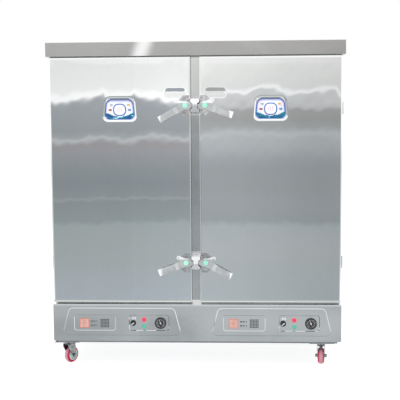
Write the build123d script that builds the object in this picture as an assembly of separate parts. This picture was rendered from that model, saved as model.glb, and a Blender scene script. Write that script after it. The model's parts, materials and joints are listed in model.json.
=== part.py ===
from build123d import *
import os
from math import cos, radians, sin, sqrt

# Double-door electric rice steaming cabinet on swivel casters. All sizes are millimetres.
# The floor is z = 0, the front faces -Y, and the origin lies on the floor under the middle.

# How far a cutting shape runs past what it cuts
cut_margin = 2.0

# Cabinet body
body_width = 1380.0
body_depth = 600.0
overall_height = 1550.0
skirt_bottom = 128.0
sill_height = 308.0
shell_sheet = 1.2
wall_thickness = 40.0
mullion_width = 80.0
frame_plate = 1.5
frame_apron = 30.0
liner_sheet = 1.0
chamber_floor = 292.0
chamber_sill = 355.0
chamber_head_drop = 106.0

# Top cover
lid_side_overhang = 10.0
lid_front_overhang = 8.0
lid_height = 65.0
lid_sheet = 1.5

# Doors
door_gap = 43.0
door_side_inset = 4.0
door_foot_gap = 10.0
door_head_gap = 4.0
door_thickness = 45.0
door_sheet = 1.2
door_edge_radius = 2.5
gasket_gap = 8.0
gasket_width = 14.0
gasket_offset = 4.0
gasket_clearance = 0.3
plug_depth = 10.0
plug_bevel = 6.0
plug_margin = 16.0

# Badges
badge_drop = 242.0
badge_width = 145.0
badge_height = 98.0
badge_thickness = 1.6
badge_taper = 9.0
badge_corner = 16.0
badge_ring_radius = 30.0
badge_ring_width = 4.0
badge_ring_rise = 1.6
pressing_margin = 8.0
pressing_depth = 1.2

# Door hinges
hinge_pin_offset = 3.5
hinge_pin_forward = 5.0
hinge_knuckle_radius = 5.5
hinge_pin_radius = 3.0
hinge_pin_head = 1.0
hinge_running_clearance = 0.05
hinge_length = 54.0
hinge_knuckle_gap = 0.4
hinge_leaf_length = 32.0
hinge_leaf_thickness = 2.0
hinge_drop = 243.0
hinge_rise = 190.0
hinge_screw_spread = 34.0
hinge_screw_inset = 9.0

# Lever latches
latch_pivot_inset = 25.0
latch_drop = 227.0
latch_rise = 192.0
latch_plate_width = 52.0
latch_plate_height = 94.0
latch_plate_edge = 3.0
latch_plate_sheet = 2.0
latch_plate_clip = 23.0
latch_plate_corner = 3.0
latch_screw_inset = 14.0
latch_screw_side = 25.0
latch_screw_rise = 0.1
latch_washer_gap = 0.3
lever_sheet = 4.0
lever_length = 138.0
lever_width = 31.0
lever_root_flare = 1.0
lever_head_radius = 20.5
lever_crank_start = 40.0
lever_crank_run = 16.0
lever_crank_rise = 8.0
lever_lip_length = 9.0
lever_lip_angle = 62.0
lever_bend = 3.0
nose_reach = 34.0
nose_start_angle = 190.0
nose_sweep = 34.0
wing_angle = 54.0
wing_reach = 43.0
wing_root_half = 16.5
wing_hole_radius = 3.5
wing_radius = 9.5
latch_stud_radius = 6.0
latch_stud_clearance = 0.05
latch_cap_radius = 12.0
latch_cap_height = 4.5
latch_cap_dome = 2.5
lever_drop_upper_left = 29.0
lever_drop_upper_right = 19.5
lever_drop_lower_left = 20.4
lever_drop_lower_right = 28.2

# Keepers on the mullion
keeper_side_gap = 0.75
keeper_sheet = 3.0
keeper_web_half = 28.0
keeper_foot_start = 32.0
keeper_foot_end = 46.0
keeper_nose_clearance = 1.0
keeper_ridge_rise = 3.0
keeper_notch_reach = 9.0
keeper_notch_depth = 10.0
keeper_notch_up = 17.0
keeper_notch_up_inner = 10.5
keeper_notch_down = 20.0
keeper_notch_down_inner = 12.5

# Control fascia
fascia_sheet = 1.5
fascia_bend = 1.2
skirt_return = 15.0
field_inset = 331.0
field_top_width = 509.0
field_bottom_width = 578.0
field_bottom = 156.0
field_top = 290.0
field_corner = 24.0
field_rise = 3.0
field_bevel = 2.4
field_wall = 2.0
panel_centre_height = 218.0
panel_height = 73.0
panel_corner = 13.0
panel_depth = 2.4
panel_bevel = 2.0
plain_panel_offset = -130.0
plain_panel_width = 197.0
control_panel_offset = 132.0
control_panel_width = 189.0
control_height = 217.0
switch_offset = 55.0
lamp_offset = 108.0
lamp_spread = 33.0
gauge_offset = 187.0
gauge_radius = 28.0
gauge_face_radius = 21.0
gauge_rim_height = 8.0
gauge_rim_bevel = 2.0
gauge_rim_step = 1.0
gauge_face_height = 2.0
gauge_can_radius = 24.0
gauge_can_length = 26.0
gauge_lens_sheet = 1.5
gauge_lens_inset = 1.0
pointer_length = 17.0
pointer_tail = 6.0
pointer_width = 2.6
pointer_tip_width = 0.9
pointer_sheet = 0.8
pointer_lift = 0.8
pointer_hub_radius = 3.2
pointer_arbor_radius = 1.0
pointer_arbor_clearance = 0.05
pointer_rest_angle = 20.0
knob_gap = 0.3
spindle_radius = 3.0
spindle_clearance = 0.05
spindle_hole_radius = 4.0
spindle_reach = 14.0
switch_collar_radius = 14.0
switch_collar_height = 4.0
switch_knob_radius = 11.0
switch_base_height = 3.0
switch_grip_length = 25.0
switch_grip_width = 7.5
switch_grip_height = 10.0
switch_grip_bevel = 1.1
switch_rest_tilt = 38.0
lamp_radius = 10.5
lamp_flange = 3.0
lamp_lens_radius = 8.0
lamp_lens_height = 5.0
lamp_lens_bevel = 2.5
lamp_body_radius = 8.5
lamp_body_length = 22.0

# Base frame and casters
caster_height = 114.0
caster_pad = 3.0
caster_pad_size = 118.0
rail_width = 40.0
rail_inset = 16.0
rail_height = 30.0
deck_sheet = 1.2
caster_left_inset = 60.0
caster_right_inset = 89.0
caster_setback = 68.0
caster_plate_length = 94.0
caster_plate_width = 78.0
caster_plate_sheet = 3.0
wheel_radius = 40.0
tyre_width = 30.0
tyre_crown = 9.0
tyre_bore_radius = 27.0
tyre_shoulder_step = 2.0
hub_width = 26.0
hub_web = 8.0
hub_rim = 4.0
hub_boss_radius = 9.0
axle_radius = 4.0
axle_clearance = 0.05
axle_head_radius = 7.0
axle_head_length = 9.0
fork_inner_width = 34.0
fork_sheet = 2.0
fork_crown_height = 100.0
fork_crown_half = 24.0
fork_leg_half = 12.0
fork_toe_inset = 4.0
fork_bend = 4.0
fork_front_drop = 16.0
fork_rear_drop = 12.0
wheel_trail = 14.0
race_radius = 25.0
race_bevel = 2.0
cup_radius = 22.0
cup_height = 6.0
race_gap = 0.3
kingpin_radius = 5.0
kingpin_head_radius = 9.0
kingpin_head_height = 4.0
swivel_angles = {"front_left": -33.0, "front_right": -6.0, "rear_left": 25.0, "rear_right": -18.0}

# Tray racks
rack_levels = 12
rack_first_rise = 45.0
rack_head_gap = 164.0
rack_setback = 30.0
rack_back_gap = 45.5
rack_shelf = 15.0
rack_sheet = 1.5
rack_side_drop = 14.0
rack_post_width = 24.0
rack_post_sheet = 2.0
rack_post_inset = 40.0

# Heating elements
element_radius = 5.0
element_length = 400.0
element_loop_width = 90.0
element_spacing = 230.0
element_height = 28.0
element_flange_radius = 24.0
element_flange = 3.0

# Rear fittings
float_box_width = 170.0
float_box_depth = 60.0
float_box_height = 150.0
float_box_bottom = 300.0
water_inlet_radius = 10.4
water_inlet_length = 14.0
water_nut_radius = 14.4
water_nut_height = 4.0
balance_pipe_radius = 8.0
balance_pipe_spread = 50.0
balance_pipe_drop = 4.0
balance_pipe_bend = 30.0
balance_pipe_end = 20.0
drain_radius = 12.0
drain_wall = 2.0
drain_setback = 60.0
drain_height = 222.0
drain_reach = 42.0
drain_bend = 26.0
drain_cap_radius = 16.0
drain_cap_length = 14.0
vent_radius = 15.0
vent_wall = 1.5
vent_drop = 49.0
vent_reach = 28.0
vent_flange_radius = 22.0
vent_flange = 3.0
service_cover_width = 190.0
service_cover_height = 118.0
service_cover_bottom = 158.0
service_cover_inset = 170.0
service_cover_rise = 10.0
service_cover_bevel = 6.0
service_cover_rim = 16.0
service_opening_margin = 20.0
service_screw_inset = 8.0
service_slots = 5
service_slot_length = 60.0
service_slot_width = 4.0
service_slot_pitch = 12.0
service_slot_bank = 34.0
gland_inset = 220.0
gland_height = 200.0
gland_nut_radius = 16.0
gland_thread_radius = 11.0
gland_bore_radius = 7.0
gland_reach = 24.0
gland_inside = 14.0
gland_bevel = 3.0
gland_nut_length = 9.0

# Contactors on the deck
contactor_width = 46.0
contactor_depth = 80.0
contactor_shoulder = 45.0
contactor_height = 76.0
contactor_cap_depth = 54.0
contactor_spacing = 62.0
contactor_inset = 190.0
contactor_setback = 300.0
contactor_rail_height = 7.5
contactor_rail_width = 35.0
contactor_rail_length = 248.0
terminal_depth = 40.0
terminal_height = 38.0

# Fasteners
screw_head_radius = 4.5
screw_head_height = 2.0

# Places worked out from the sizes above
lever_plate_depth = latch_plate_sheet + latch_washer_gap
lever_face = lever_plate_depth + lever_sheet
lever_reach = lever_face + lever_crank_rise + lever_lip_length * sin(radians(lever_lip_angle))
face_y = lever_reach - (lever_reach + body_depth + float_box_depth) / 2
back_y = face_y + body_depth
door_back_y = face_y + door_thickness
frame_y = door_back_y + gasket_gap
half_width = body_width / 2
lid_bottom = overall_height - lid_height
shell_top = overall_height - lid_sheet
door_bottom = sill_height + door_foot_gap
door_top = lid_bottom - door_head_gap
door_inner_x = door_gap / 2
door_outer_x = half_width - door_side_inset
door_centre_x = (door_outer_x + door_inner_x) / 2
badge_z = door_top - badge_drop
chamber_in = mullion_width / 2
chamber_out = half_width - wall_thickness
chamber_middle = (chamber_in + chamber_out) / 2
chamber_top = overall_height - chamber_head_drop
chamber_back = back_y - wall_thickness
vent_level = chamber_top - vent_drop
drain_y = chamber_back - drain_setback
rack_first_level = chamber_sill + rack_first_rise
rack_pitch = (chamber_top - rack_head_gap - rack_first_level) / (rack_levels - 1)
balance_pipe_level = float_box_bottom - balance_pipe_drop - balance_pipe_bend
inside_front = frame_y + frame_plate
latch_levels = {"upper": door_top - latch_drop, "lower": door_bottom + latch_rise}
hinge_levels = (door_top - hinge_drop, door_bottom + hinge_rise)
pivot_x = door_inner_x + latch_pivot_inset
hinge_x = half_width + hinge_pin_offset
hinge_y = frame_y - hinge_pin_forward
panel_face_y = face_y - field_rise + panel_depth
field_centre = half_width - field_inset
caster_left_x = caster_left_inset - half_width
caster_right_x = half_width - caster_right_inset
service_cover_offset = half_width - service_cover_inset
gland_x = gland_inset - half_width
contactor_x = half_width - contactor_inset
deck_top = caster_height + caster_pad + rail_height + deck_sheet
wing_x = wing_reach * cos(radians(wing_angle))
wing_y = wing_reach * sin(radians(wing_angle))
panels = ((plain_panel_offset, plain_panel_width), (control_panel_offset, control_panel_width))
lamp_levels = (control_height + lamp_spread / 2, control_height - lamp_spread / 2)


def block(x0, x1, y0, y1, z0, z1):
    """A rectangular solid between two corners."""
    box = Box(x1 - x0, y1 - y0, z1 - z0, align=(Align.MIN, Align.MIN, Align.MIN))
    return Pos(x0, y0, z0) * box


def mirrored(shape):
    """The same piece for the left half of the cabinet."""
    return mirror(shape, about=Plane.YZ)


def solids_of(*shapes):
    """Every separate solid in the given shapes."""
    found = []
    for shape in shapes:
        found += list(shape.solids())
    return found


def save(node, *shapes):
    """Write one node's solids to its own file."""
    solids = solids_of(*shapes)
    if len(solids) == 1:
        export_step(solids[0], f"parts/{node}.step")
    else:
        export_step(Compound(children=solids), f"parts/{node}.step")


def front_disc(x, z, radius, y0, y1):
    """A round piece whose axis runs front to back."""
    disc = Cylinder(radius, y1 - y0, align=(Align.CENTER, Align.CENTER, Align.MIN))
    return Pos(x, y0, z) * Rot(-90, 0, 0) * disc


def upright(x, y, radius, z0, z1):
    """A round piece standing on end."""
    post = Cylinder(radius, z1 - z0, align=(Align.CENTER, Align.CENTER, Align.MIN))
    return Pos(x, y, z0) * post


def strip_outline(points, thickness):
    """Outline of a bent strip: the given points along one face, and back along the other."""
    near = [Vector(x, y) for x, y in points]
    far = []
    for i, point in enumerate(near):
        normals = []
        for a, b in ((i - 1, i), (i, i + 1)):
            if a >= 0 and b < len(near):
                run = (near[b] - near[a]).normalized()
                normals.append(Vector(-run.Y, run.X))
        mean = sum(normals[1:], normals[0]).normalized()
        far.append(point + mean * (thickness / mean.dot(normals[0])))
    return near + far[::-1]


def polygon_face(points):
    """A flat face through the given corners."""
    return make_face(Polyline(*points, close=True))


def rounded_polygon(points, radius):
    """A flat face with every corner rounded."""
    face = polygon_face(points)
    return fillet(face.vertices(), radius)


def front_plate(face, y0, y1):
    """Raise an outline drawn in x and z into a plate between two depths."""
    plane = Plane(origin=(0, y1, 0), x_dir=(1, 0, 0), z_dir=(0, -1, 0))
    return extrude(plane * face, y1 - y0)


def front_ring(x0, x1, z0, z1, y0, y1, width):
    """A rectangular ring lying flat against the front."""
    outer = block(x0, x1, y0, y1, z0, z1)
    return outer - block(x0 + width, x1 - width, y0, y1, z0 + width, z1 - width)


# Door skin and its pressing for the badge

def badge_outline(grow):
    """The badge's rounded trapezoid about its own centre, wider at the foot."""
    half = badge_width / 2 + grow
    rise = badge_height / 2 + grow
    corners = [(-half, -rise), (half, -rise), (half - badge_taper, rise), (-half + badge_taper, rise)]
    return rounded_polygon(corners, badge_corner)


def build_door_skin():
    """A folded pan, open at the back, with a shallow pressing for the badge."""
    outer = block(door_inner_x, door_outer_x, face_y, door_back_y, door_bottom, door_top)
    front_edges = outer.faces().sort_by(Axis.Y)[0].edges()
    outer = fillet(front_edges, door_edge_radius)
    inner = block(door_inner_x + door_sheet, door_outer_x - door_sheet, face_y + door_sheet,
                  door_back_y, door_bottom + door_sheet, door_top - door_sheet)
    place = Pos(door_centre_x, badge_z)
    pressed = place * badge_outline(pressing_margin)
    backing = place * badge_outline(pressing_margin + door_sheet)
    skin = outer - inner
    skin += front_plate(backing, face_y + door_sheet / 2, face_y + pressing_depth + door_sheet)
    skin -= front_plate(pressed, face_y, face_y + pressing_depth)
    return skin


def build_inner_panel():
    """The door's inside sheet, pressed out in the middle where it enters the chamber."""
    sheet = block(door_inner_x + door_sheet, door_outer_x - door_sheet,
                  door_back_y - door_sheet, door_back_y,
                  door_bottom + door_sheet, door_top - door_sheet)
    x0, x1 = chamber_in + plug_margin, chamber_out - plug_margin
    z0, z1 = chamber_sill + plug_margin, chamber_top - plug_margin
    plug = block(x0, x1, door_back_y - door_sheet, door_back_y + plug_depth, z0, z1)
    rear_edges = plug.faces().sort_by(Axis.Y)[-1].edges()
    plug = chamfer(rear_edges, plug_bevel)
    hollow = block(x0 + plug_depth, x1 - plug_depth, door_back_y - door_sheet,
                   door_back_y + plug_depth - door_sheet, z0 + plug_depth, z1 - plug_depth)
    return sheet + plug - hollow


def build_gasket():
    """Soft ring on the inside of the door, just clear of the cabinet's face."""
    grow = gasket_offset + gasket_width
    return front_ring(chamber_in - grow, chamber_out + grow, chamber_sill - grow, chamber_top + grow,
                      door_back_y, frame_y - gasket_clearance, gasket_width)


def build_badge():
    """Plate in the pressing, with a raised ring."""
    y1 = face_y + pressing_depth
    y0 = y1 - badge_thickness
    plate = front_plate(Pos(door_centre_x, badge_z) * badge_outline(0), y0, y1)
    ring = front_disc(door_centre_x, badge_z, badge_ring_radius, y0 - badge_ring_rise, y0)
    ring -= front_disc(door_centre_x, badge_z, badge_ring_radius - badge_ring_width,
                       y0 - badge_ring_rise, y0)
    return plate + ring


# Hinges

def hinge_spans(level):
    """Lower, middle and upper knuckle heights of one hinge."""
    third = hinge_length / 3
    low = level - hinge_length / 2
    gap = hinge_knuckle_gap / 2
    return ((low, low + third - gap), (low + third + gap, low + 2 * third - gap),
            (low + 2 * third + gap, low + hinge_length))


def build_door_leaf(level):
    """Leaf on the door's side, with the middle knuckle."""
    _, middle, _ = hinge_spans(level)
    x0, x1 = door_outer_x, door_outer_x + hinge_leaf_thickness
    front = door_back_y - hinge_leaf_length
    leaf = block(x0, x1, front, door_back_y, level - hinge_length / 2, level + hinge_length / 2)
    web_front = hinge_y - hinge_knuckle_radius
    web_back = web_front + hinge_leaf_thickness
    leaf += block(x0, x1, front, web_back, *middle)
    leaf += block(x0, hinge_x, web_front, web_back, *middle)
    leaf += upright(hinge_x, hinge_y, hinge_knuckle_radius, *middle)
    return leaf - upright(hinge_x, hinge_y, hinge_pin_radius + hinge_running_clearance, *middle)


def build_cabinet_leaf(level):
    """Leaf on the cabinet's side, with the outer knuckles."""
    lower, _, upper = hinge_spans(level)
    x0, x1 = half_width, half_width + hinge_leaf_thickness
    z0, z1 = level - hinge_length / 2, level + hinge_length / 2
    leaf = block(x0, x1, hinge_y + hinge_knuckle_radius, hinge_y + hinge_leaf_length, z0, z1)
    for span in (lower, upper):
        leaf += block(x0, x1, hinge_y, hinge_y + hinge_leaf_length, *span)
        leaf += upright(hinge_x, hinge_y, hinge_knuckle_radius, *span)
    for span in (lower, upper):
        leaf -= upright(hinge_x, hinge_y, hinge_pin_radius, *span)
    return leaf


def build_hinge_pin(level):
    """The pin, held by the cabinet's knuckles, with a small head at each end."""
    z0, z1 = level - hinge_length / 2, level + hinge_length / 2
    head = screw_head_height
    pin = upright(hinge_x, hinge_y, hinge_pin_radius, z0 - head, z1 + head)
    for end in (z0 - head, z1):
        pin += upright(hinge_x, hinge_y, hinge_pin_radius + hinge_pin_head, end, end + head)
    return pin


def hinge_screw_levels():
    """Heights of the screws in both hinges."""
    return [level + side * hinge_screw_spread / 2 for level in hinge_levels for side in (-1, 1)]


def side_screw(x, y, z):
    """A pan head on a leaf's outer face, whose screw runs across the cabinet."""
    head = Rot(0, 90, 0) * Cylinder(screw_head_radius, screw_head_height)
    return Pos(x + screw_head_height / 2, y, z) * head


# Lever latches

def lever_outline():
    """The lever seen from the front, lying along +x with its pivot at the origin."""
    half = lever_width / 2
    root = half + lever_root_flare
    head = Circle(lever_head_radius)
    shank = polygon_face([(0, -root), (lever_length, -half), (lever_length, half), (0, root)])
    tip = Vector(wing_x, wing_y)
    across = Vector(-wing_y, wing_x).normalized()
    wing = polygon_face([across * wing_root_half, tip + across * wing_radius,
                         tip - across * wing_radius, across * -wing_root_half])
    wing += Pos(wing_x, wing_y) * Circle(wing_radius)
    first, last = radians(nose_start_angle), radians(nose_start_angle + nose_sweep)
    middle = (first + last) / 2
    start = (nose_reach * cos(first), nose_reach * sin(first))
    through = (nose_reach * cos(middle), nose_reach * sin(middle))
    end = (nose_reach * cos(last), nose_reach * sin(last))
    top = (0, lever_head_radius)
    bottom = (0, -lever_head_radius)
    edge = Polyline(end, bottom, top, start) + ThreePointArc(start, through, end)
    nose = make_face(edge)
    return head + shank + wing + nose


def build_lever():
    """A bent plate: hub, cranked grip and turned-out tip, in the plane of the door."""
    lip = radians(lever_lip_angle)
    crank_end = lever_crank_start + lever_crank_run
    lip_start = lever_length - lever_lip_length * cos(lip)
    high = lever_plate_depth + lever_crank_rise
    path = [(-nose_reach - cut_margin, lever_plate_depth), (lever_crank_start, lever_plate_depth),
            (crank_end, high), (lip_start, high),
            (lever_length, high + lever_lip_length * sin(lip))]
    section = polygon_face(strip_outline(path, lever_sheet))
    bends = [v for v in section.vertices() if -nose_reach < v.X < lever_length - cut_margin]
    section = fillet(bends, lever_bend)
    plate = extrude(Plane.XZ * section, wing_reach + wing_radius + cut_margin, both=True)
    lever = plate & extrude(Plane.XY * lever_outline(), 2 * lever_reach)
    lever -= Cylinder(latch_stud_radius + latch_stud_clearance, 4 * lever_reach)
    lever -= Pos(wing_x, wing_y) * Cylinder(wing_hole_radius, 4 * lever_reach)
    return lever


def placed_lever(side, level, drop):
    """One lever with its pivot on the door, hanging below the horizontal by its rest angle."""
    lever = Pos(pivot_x, face_y, level) * Rot(90, 0, 0) * Rot(0, 0, -drop) * build_lever()
    return lever if side == "right" else mirrored(lever)


def build_latch_plate(level):
    """Base plate on the door's face with clipped outer corners, and two flat screws sunk in it."""
    x0 = door_inner_x + latch_plate_edge
    x1 = x0 + latch_plate_width
    z0, z1 = level - latch_plate_height / 2, level + latch_plate_height / 2
    clip = latch_plate_clip
    corners = [(x0, z0), (x1 - clip, z0), (x1, z0 + clip), (x1, z1 - clip), (x1 - clip, z1), (x0, z1)]
    front = face_y - latch_plate_sheet
    plate = front_plate(rounded_polygon(corners, latch_plate_corner), front, face_y)
    screws = []
    for z in (z0 + latch_screw_inset, z1 - latch_screw_inset):
        screw = front_disc(x0 + latch_screw_side, z, screw_head_radius, front - latch_screw_rise, face_y)
        plate -= screw
        screws.append(screw)
    return [plate, *screws]


def build_latch_stud(level):
    """Stepped stud with a domed cap, on which the lever turns."""
    base = latch_plate_sheet
    under = lever_face + latch_washer_gap
    crown = under + latch_cap_height
    dome_radius = (latch_cap_radius**2 + latch_cap_dome**2) / (2 * latch_cap_dome)
    halfway = latch_cap_radius / 2
    rise = sqrt(dome_radius**2 - halfway**2) - dome_radius
    rim = (latch_cap_radius, crown - latch_cap_dome)
    profile = Polyline((0, crown), (0, base), (latch_stud_radius, base), (latch_stud_radius, under),
                       (latch_cap_radius, under), rim)
    face = make_face(profile + ThreePointArc(rim, (halfway, crown + rise), (0, crown)))
    stud = revolve(Plane.XY * face, Axis.Y)
    return Pos(pivot_x, face_y, level) * Rot(180, 0, 0) * stud


def build_keeper(level):
    """A bent bridge on the mullion, notched at each side for the lever's nose."""
    height = frame_y - face_y + lever_face + keeper_nose_clearance
    ridge = height + keeper_ridge_rise
    path = [(-keeper_foot_end, 0), (-keeper_foot_start, 0), (-keeper_web_half, height), (0, ridge),
            (keeper_web_half, height), (keeper_foot_start, 0), (keeper_foot_end, 0)]
    section = polygon_face(strip_outline(path, keeper_sheet))
    half = door_gap / 2 - keeper_side_gap
    strap = extrude(Plane.YZ * section, half, both=True)
    strap = Rot(90, 0, 0) * strap
    mouth = half + cut_margin
    floor = door_gap / 2 - keeper_notch_depth
    notch = [(mouth, -keeper_notch_down), (mouth, keeper_notch_up),
             (floor, keeper_notch_up_inner), (floor, -keeper_notch_down_inner)]
    for sign in (1, -1):
        outline = polygon_face([(sign * x, z) for x, z in notch])
        strap -= front_plate(outline, -ridge - keeper_sheet - cut_margin, keeper_notch_reach - height)
    return Pos(0, frame_y, level) * strap


def build_keepers():
    """Both keepers."""
    return [build_keeper(level) for level in latch_levels.values()]


# Cabinet shell

def build_top_cover():
    """Folded cover with turned-in lips that close against the body."""
    x = half_width + lid_side_overhang
    y0, y1 = face_y - lid_front_overhang, back_y + lid_front_overhang
    cover = block(-x, x, y0, y1, lid_bottom, overall_height)
    edges = cover.edges().filter_by(Axis.Z) + cover.faces().sort_by(Axis.Z)[-1].edges()
    cover = fillet(edges, door_edge_radius)
    s = lid_sheet
    cover -= block(-x + s, x - s, y0 + s, y1 - s, lid_bottom + s, overall_height - s)
    cover -= block(-half_width, half_width, frame_y, back_y, lid_bottom, lid_bottom + 2 * s)
    return cover


def build_side_panel():
    """Right side: one sheet, stepped forward at the base, with a turned-in rear edge."""
    plane = Plane(origin=(half_width, 0, 0), x_dir=(0, 1, 0), z_dir=(1, 0, 0))
    outline = polygon_face([(face_y + fascia_sheet, skirt_bottom), (back_y, skirt_bottom),
                            (back_y, shell_top), (inside_front, shell_top),
                            (inside_front, sill_height), (face_y + fascia_sheet, sill_height)])
    sheet = extrude(plane * outline, -shell_sheet)
    rear = back_y - shell_sheet
    lip = block(half_width - skirt_return, half_width, rear, back_y, skirt_bottom, shell_top)
    foot = block(half_width - skirt_return, half_width, face_y + fascia_sheet, back_y,
                 skirt_bottom, skirt_bottom + shell_sheet)
    return sheet + lip + foot


def build_back_panel():
    """Rear sheet with holes for the pipes, the gland and the service opening."""
    x = half_width - skirt_return
    panel = block(-x, x, back_y - shell_sheet, back_y, skirt_bottom, shell_top)
    y0, y1 = back_y - shell_sheet, back_y
    for sign in (-1, 1):
        panel -= front_disc(sign * chamber_middle, drain_height, drain_radius, y0, y1)
        panel -= front_disc(sign * chamber_middle, vent_level, vent_radius, y0, y1)
        panel -= front_disc(sign * balance_pipe_spread, balance_pipe_level, balance_pipe_radius, y0, y1)
    panel -= front_disc(gland_x, gland_height, gland_thread_radius, y0, y1)
    margin = service_opening_margin
    panel -= block(service_cover_offset - service_cover_width / 2 + margin,
                   service_cover_offset + service_cover_width / 2 - margin, y0, y1,
                   service_cover_bottom + margin, service_cover_bottom + service_cover_height - margin)
    return panel


def build_front_frame():
    """Face sheet round both chambers, with the mullion between them."""
    frame = block(-half_width, half_width, frame_y, inside_front, sill_height, shell_top)
    inside = half_width - shell_sheet
    frame += block(-inside, inside, frame_y, inside_front, sill_height - frame_apron, sill_height)
    for x0, x1 in ((-chamber_out, -chamber_in), (chamber_in, chamber_out)):
        frame -= block(x0, x1, frame_y, inside_front, chamber_sill, chamber_top)
    return frame


def build_chamber():
    """Right cooking chamber: welded liner sheets, open at the front, with a water well below the sill."""
    s = liner_sheet
    near, far = inside_front, chamber_back
    low, high = chamber_floor, chamber_top
    sheets = [block(x, x + s, near, far, low, high) for x in (chamber_in - s, chamber_out)]
    sheets.append(block(chamber_in - s, chamber_out + s, near, far, high, high + s))
    floor = block(chamber_in - s, chamber_out + s, near, far, low - s, low)
    sheets.append(floor - upright(chamber_middle, drain_y, drain_radius - drain_wall, low - s, low))
    back = block(chamber_in - s, chamber_out + s, far, far + s, low - s, high + s)
    sheets.append(back - front_disc(chamber_middle, vent_level, vent_radius - vent_wall, far, far + s))
    return sheets


def build_insulation():
    """Foam slabs between the shell and the liners."""
    s = liner_sheet
    out = half_width - shell_sheet
    rear = back_y - shell_sheet
    low, high = chamber_floor - s, chamber_top + s
    slabs = [block(-out, out, inside_front, rear, high, high + wall_thickness)]
    slabs.append(block(-chamber_in + s, chamber_in - s, inside_front, chamber_back + s, low, high))
    for sign in (-1, 1):
        side = block(chamber_out + s, out, inside_front, rear, low, high)
        slabs.append(side if sign > 0 else mirrored(side))
    back = block(-chamber_out - s, chamber_out + s, chamber_back + s, rear, low, high)
    for sign in (-1, 1):
        back -= front_disc(sign * chamber_middle, vent_level, vent_radius, chamber_back + s, rear)
    slabs.append(back)
    return slabs


# Control fascia

def field_outline(grow):
    """The raised field's rounded trapezoid about the field's own centre line."""
    top, bottom = field_top_width / 2 + grow, field_bottom_width / 2 + grow
    corners = [(-bottom, field_bottom - grow), (bottom, field_bottom - grow),
               (top, field_top + grow), (-top, field_top + grow)]
    return rounded_polygon(corners, field_corner)


def panel_outline(offset, width, grow):
    """One of the two sunk panels in a raised field."""
    outline = RectangleRounded(width + 2 * grow, panel_height + 2 * grow, panel_corner)
    return Pos(offset, panel_centre_height) * outline


def build_fascia():
    """Pressed front sheet of the base, with its step under the doors and its bottom return."""
    s = fascia_sheet
    fascia = block(-half_width, half_width, face_y, face_y + s, skirt_bottom, sill_height)
    fascia = fillet(fascia.faces().sort_by(Axis.Y)[0].edges().filter_by(Axis.X), fascia_bend)
    inside = half_width - shell_sheet
    fascia += block(-inside, inside, face_y + fascia_bend, frame_y, sill_height - s, sill_height)
    inside = half_width - skirt_return
    fascia += block(-inside, inside, face_y + fascia_bend, face_y + rail_inset,
                    skirt_bottom, skirt_bottom + s)
    for centre in (-field_centre, field_centre):
        place = Pos(centre, 0)
        field = front_plate(place * field_outline(0), face_y - field_rise, face_y + s / 2)
        rim = field.faces().sort_by(Axis.Y)[0].edges()
        fascia += chamfer(rim, field_bevel)
        hollow = front_plate(place * field_outline(-field_wall - s), face_y - field_rise + s, face_y + s)
        for offset, width in panels:
            hollow -= front_plate(place * panel_outline(offset, width, s + panel_bevel / 2),
                                  face_y - field_rise + s, face_y + s)
        fascia -= hollow
        for offset, width in panels:
            sunk = front_plate(place * panel_outline(offset, width, panel_bevel),
                               face_y - field_rise, panel_face_y)
            fascia -= chamfer(sunk.faces().sort_by(Axis.Y)[-1].edges(), panel_bevel)
        y0, y1 = panel_face_y, face_y + s
        fascia -= front_disc(centre + switch_offset, control_height, spindle_hole_radius, y0, y1)
        fascia -= front_disc(centre + gauge_offset, control_height, gauge_can_radius, y0, y1)
        for level in lamp_levels:
            fascia -= front_disc(centre + lamp_offset, level, lamp_body_radius, y0, y1)
    return fascia


def gauge_section():
    """Half section of the gauge body about its axis: can, face and rim, in radius and height."""
    arbor = pointer_arbor_radius + pointer_arbor_clearance
    return [(arbor, -gauge_can_length), (gauge_can_radius, -gauge_can_length), (gauge_can_radius, 0),
            (gauge_radius, 0), (gauge_radius, gauge_rim_height - gauge_rim_bevel),
            (gauge_radius - gauge_rim_bevel, gauge_rim_height),
            (gauge_face_radius, gauge_rim_height - gauge_rim_step),
            (gauge_face_radius, gauge_face_height), (arbor, gauge_face_height)]


def build_bezels():
    """Gauge bodies with their dial faces, and collars behind the selector switches."""
    pieces = []
    for centre in (-field_centre, field_centre):
        body = revolve(Plane.XY * polygon_face(gauge_section()), Axis.Y)
        place = Pos(centre + gauge_offset, panel_face_y, control_height) * Rot(180, 0, 0)
        x = centre + switch_offset
        collar = front_disc(x, control_height, switch_collar_radius,
                            panel_face_y - switch_collar_height, panel_face_y)
        bore = spindle_radius + spindle_clearance
        collar -= front_disc(x, control_height, bore, panel_face_y - switch_collar_height, panel_face_y)
        pieces += [place * body, collar]
    return pieces


def build_gauge_lens(centre):
    """Clear disc set in the gauge's rim."""
    y1 = panel_face_y - gauge_rim_height + gauge_lens_inset + gauge_lens_sheet
    return front_disc(centre + gauge_offset, control_height, gauge_face_radius, y1 - gauge_lens_sheet, y1)


def build_pointer(centre):
    """Gauge pointer with its hub and the arbor that turns in the gauge body."""
    y1 = panel_face_y - gauge_face_height - pointer_lift
    tail, tip = pointer_width / 2, pointer_tip_width / 2
    blade = polygon_face([(-tail, -pointer_tail), (tail, -pointer_tail),
                          (tip, pointer_length), (-tip, pointer_length)])
    pointer = front_plate(blade, y1 - pointer_sheet, y1)
    pointer += front_disc(0, 0, pointer_hub_radius, y1 - 2 * pointer_sheet, y1)
    pointer += front_disc(0, 0, pointer_arbor_radius, y1, panel_face_y + gauge_can_length / 2)
    turned = Rot(0, -pointer_rest_angle, 0) * pointer
    return Pos(centre + gauge_offset, 0, control_height) * turned


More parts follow.
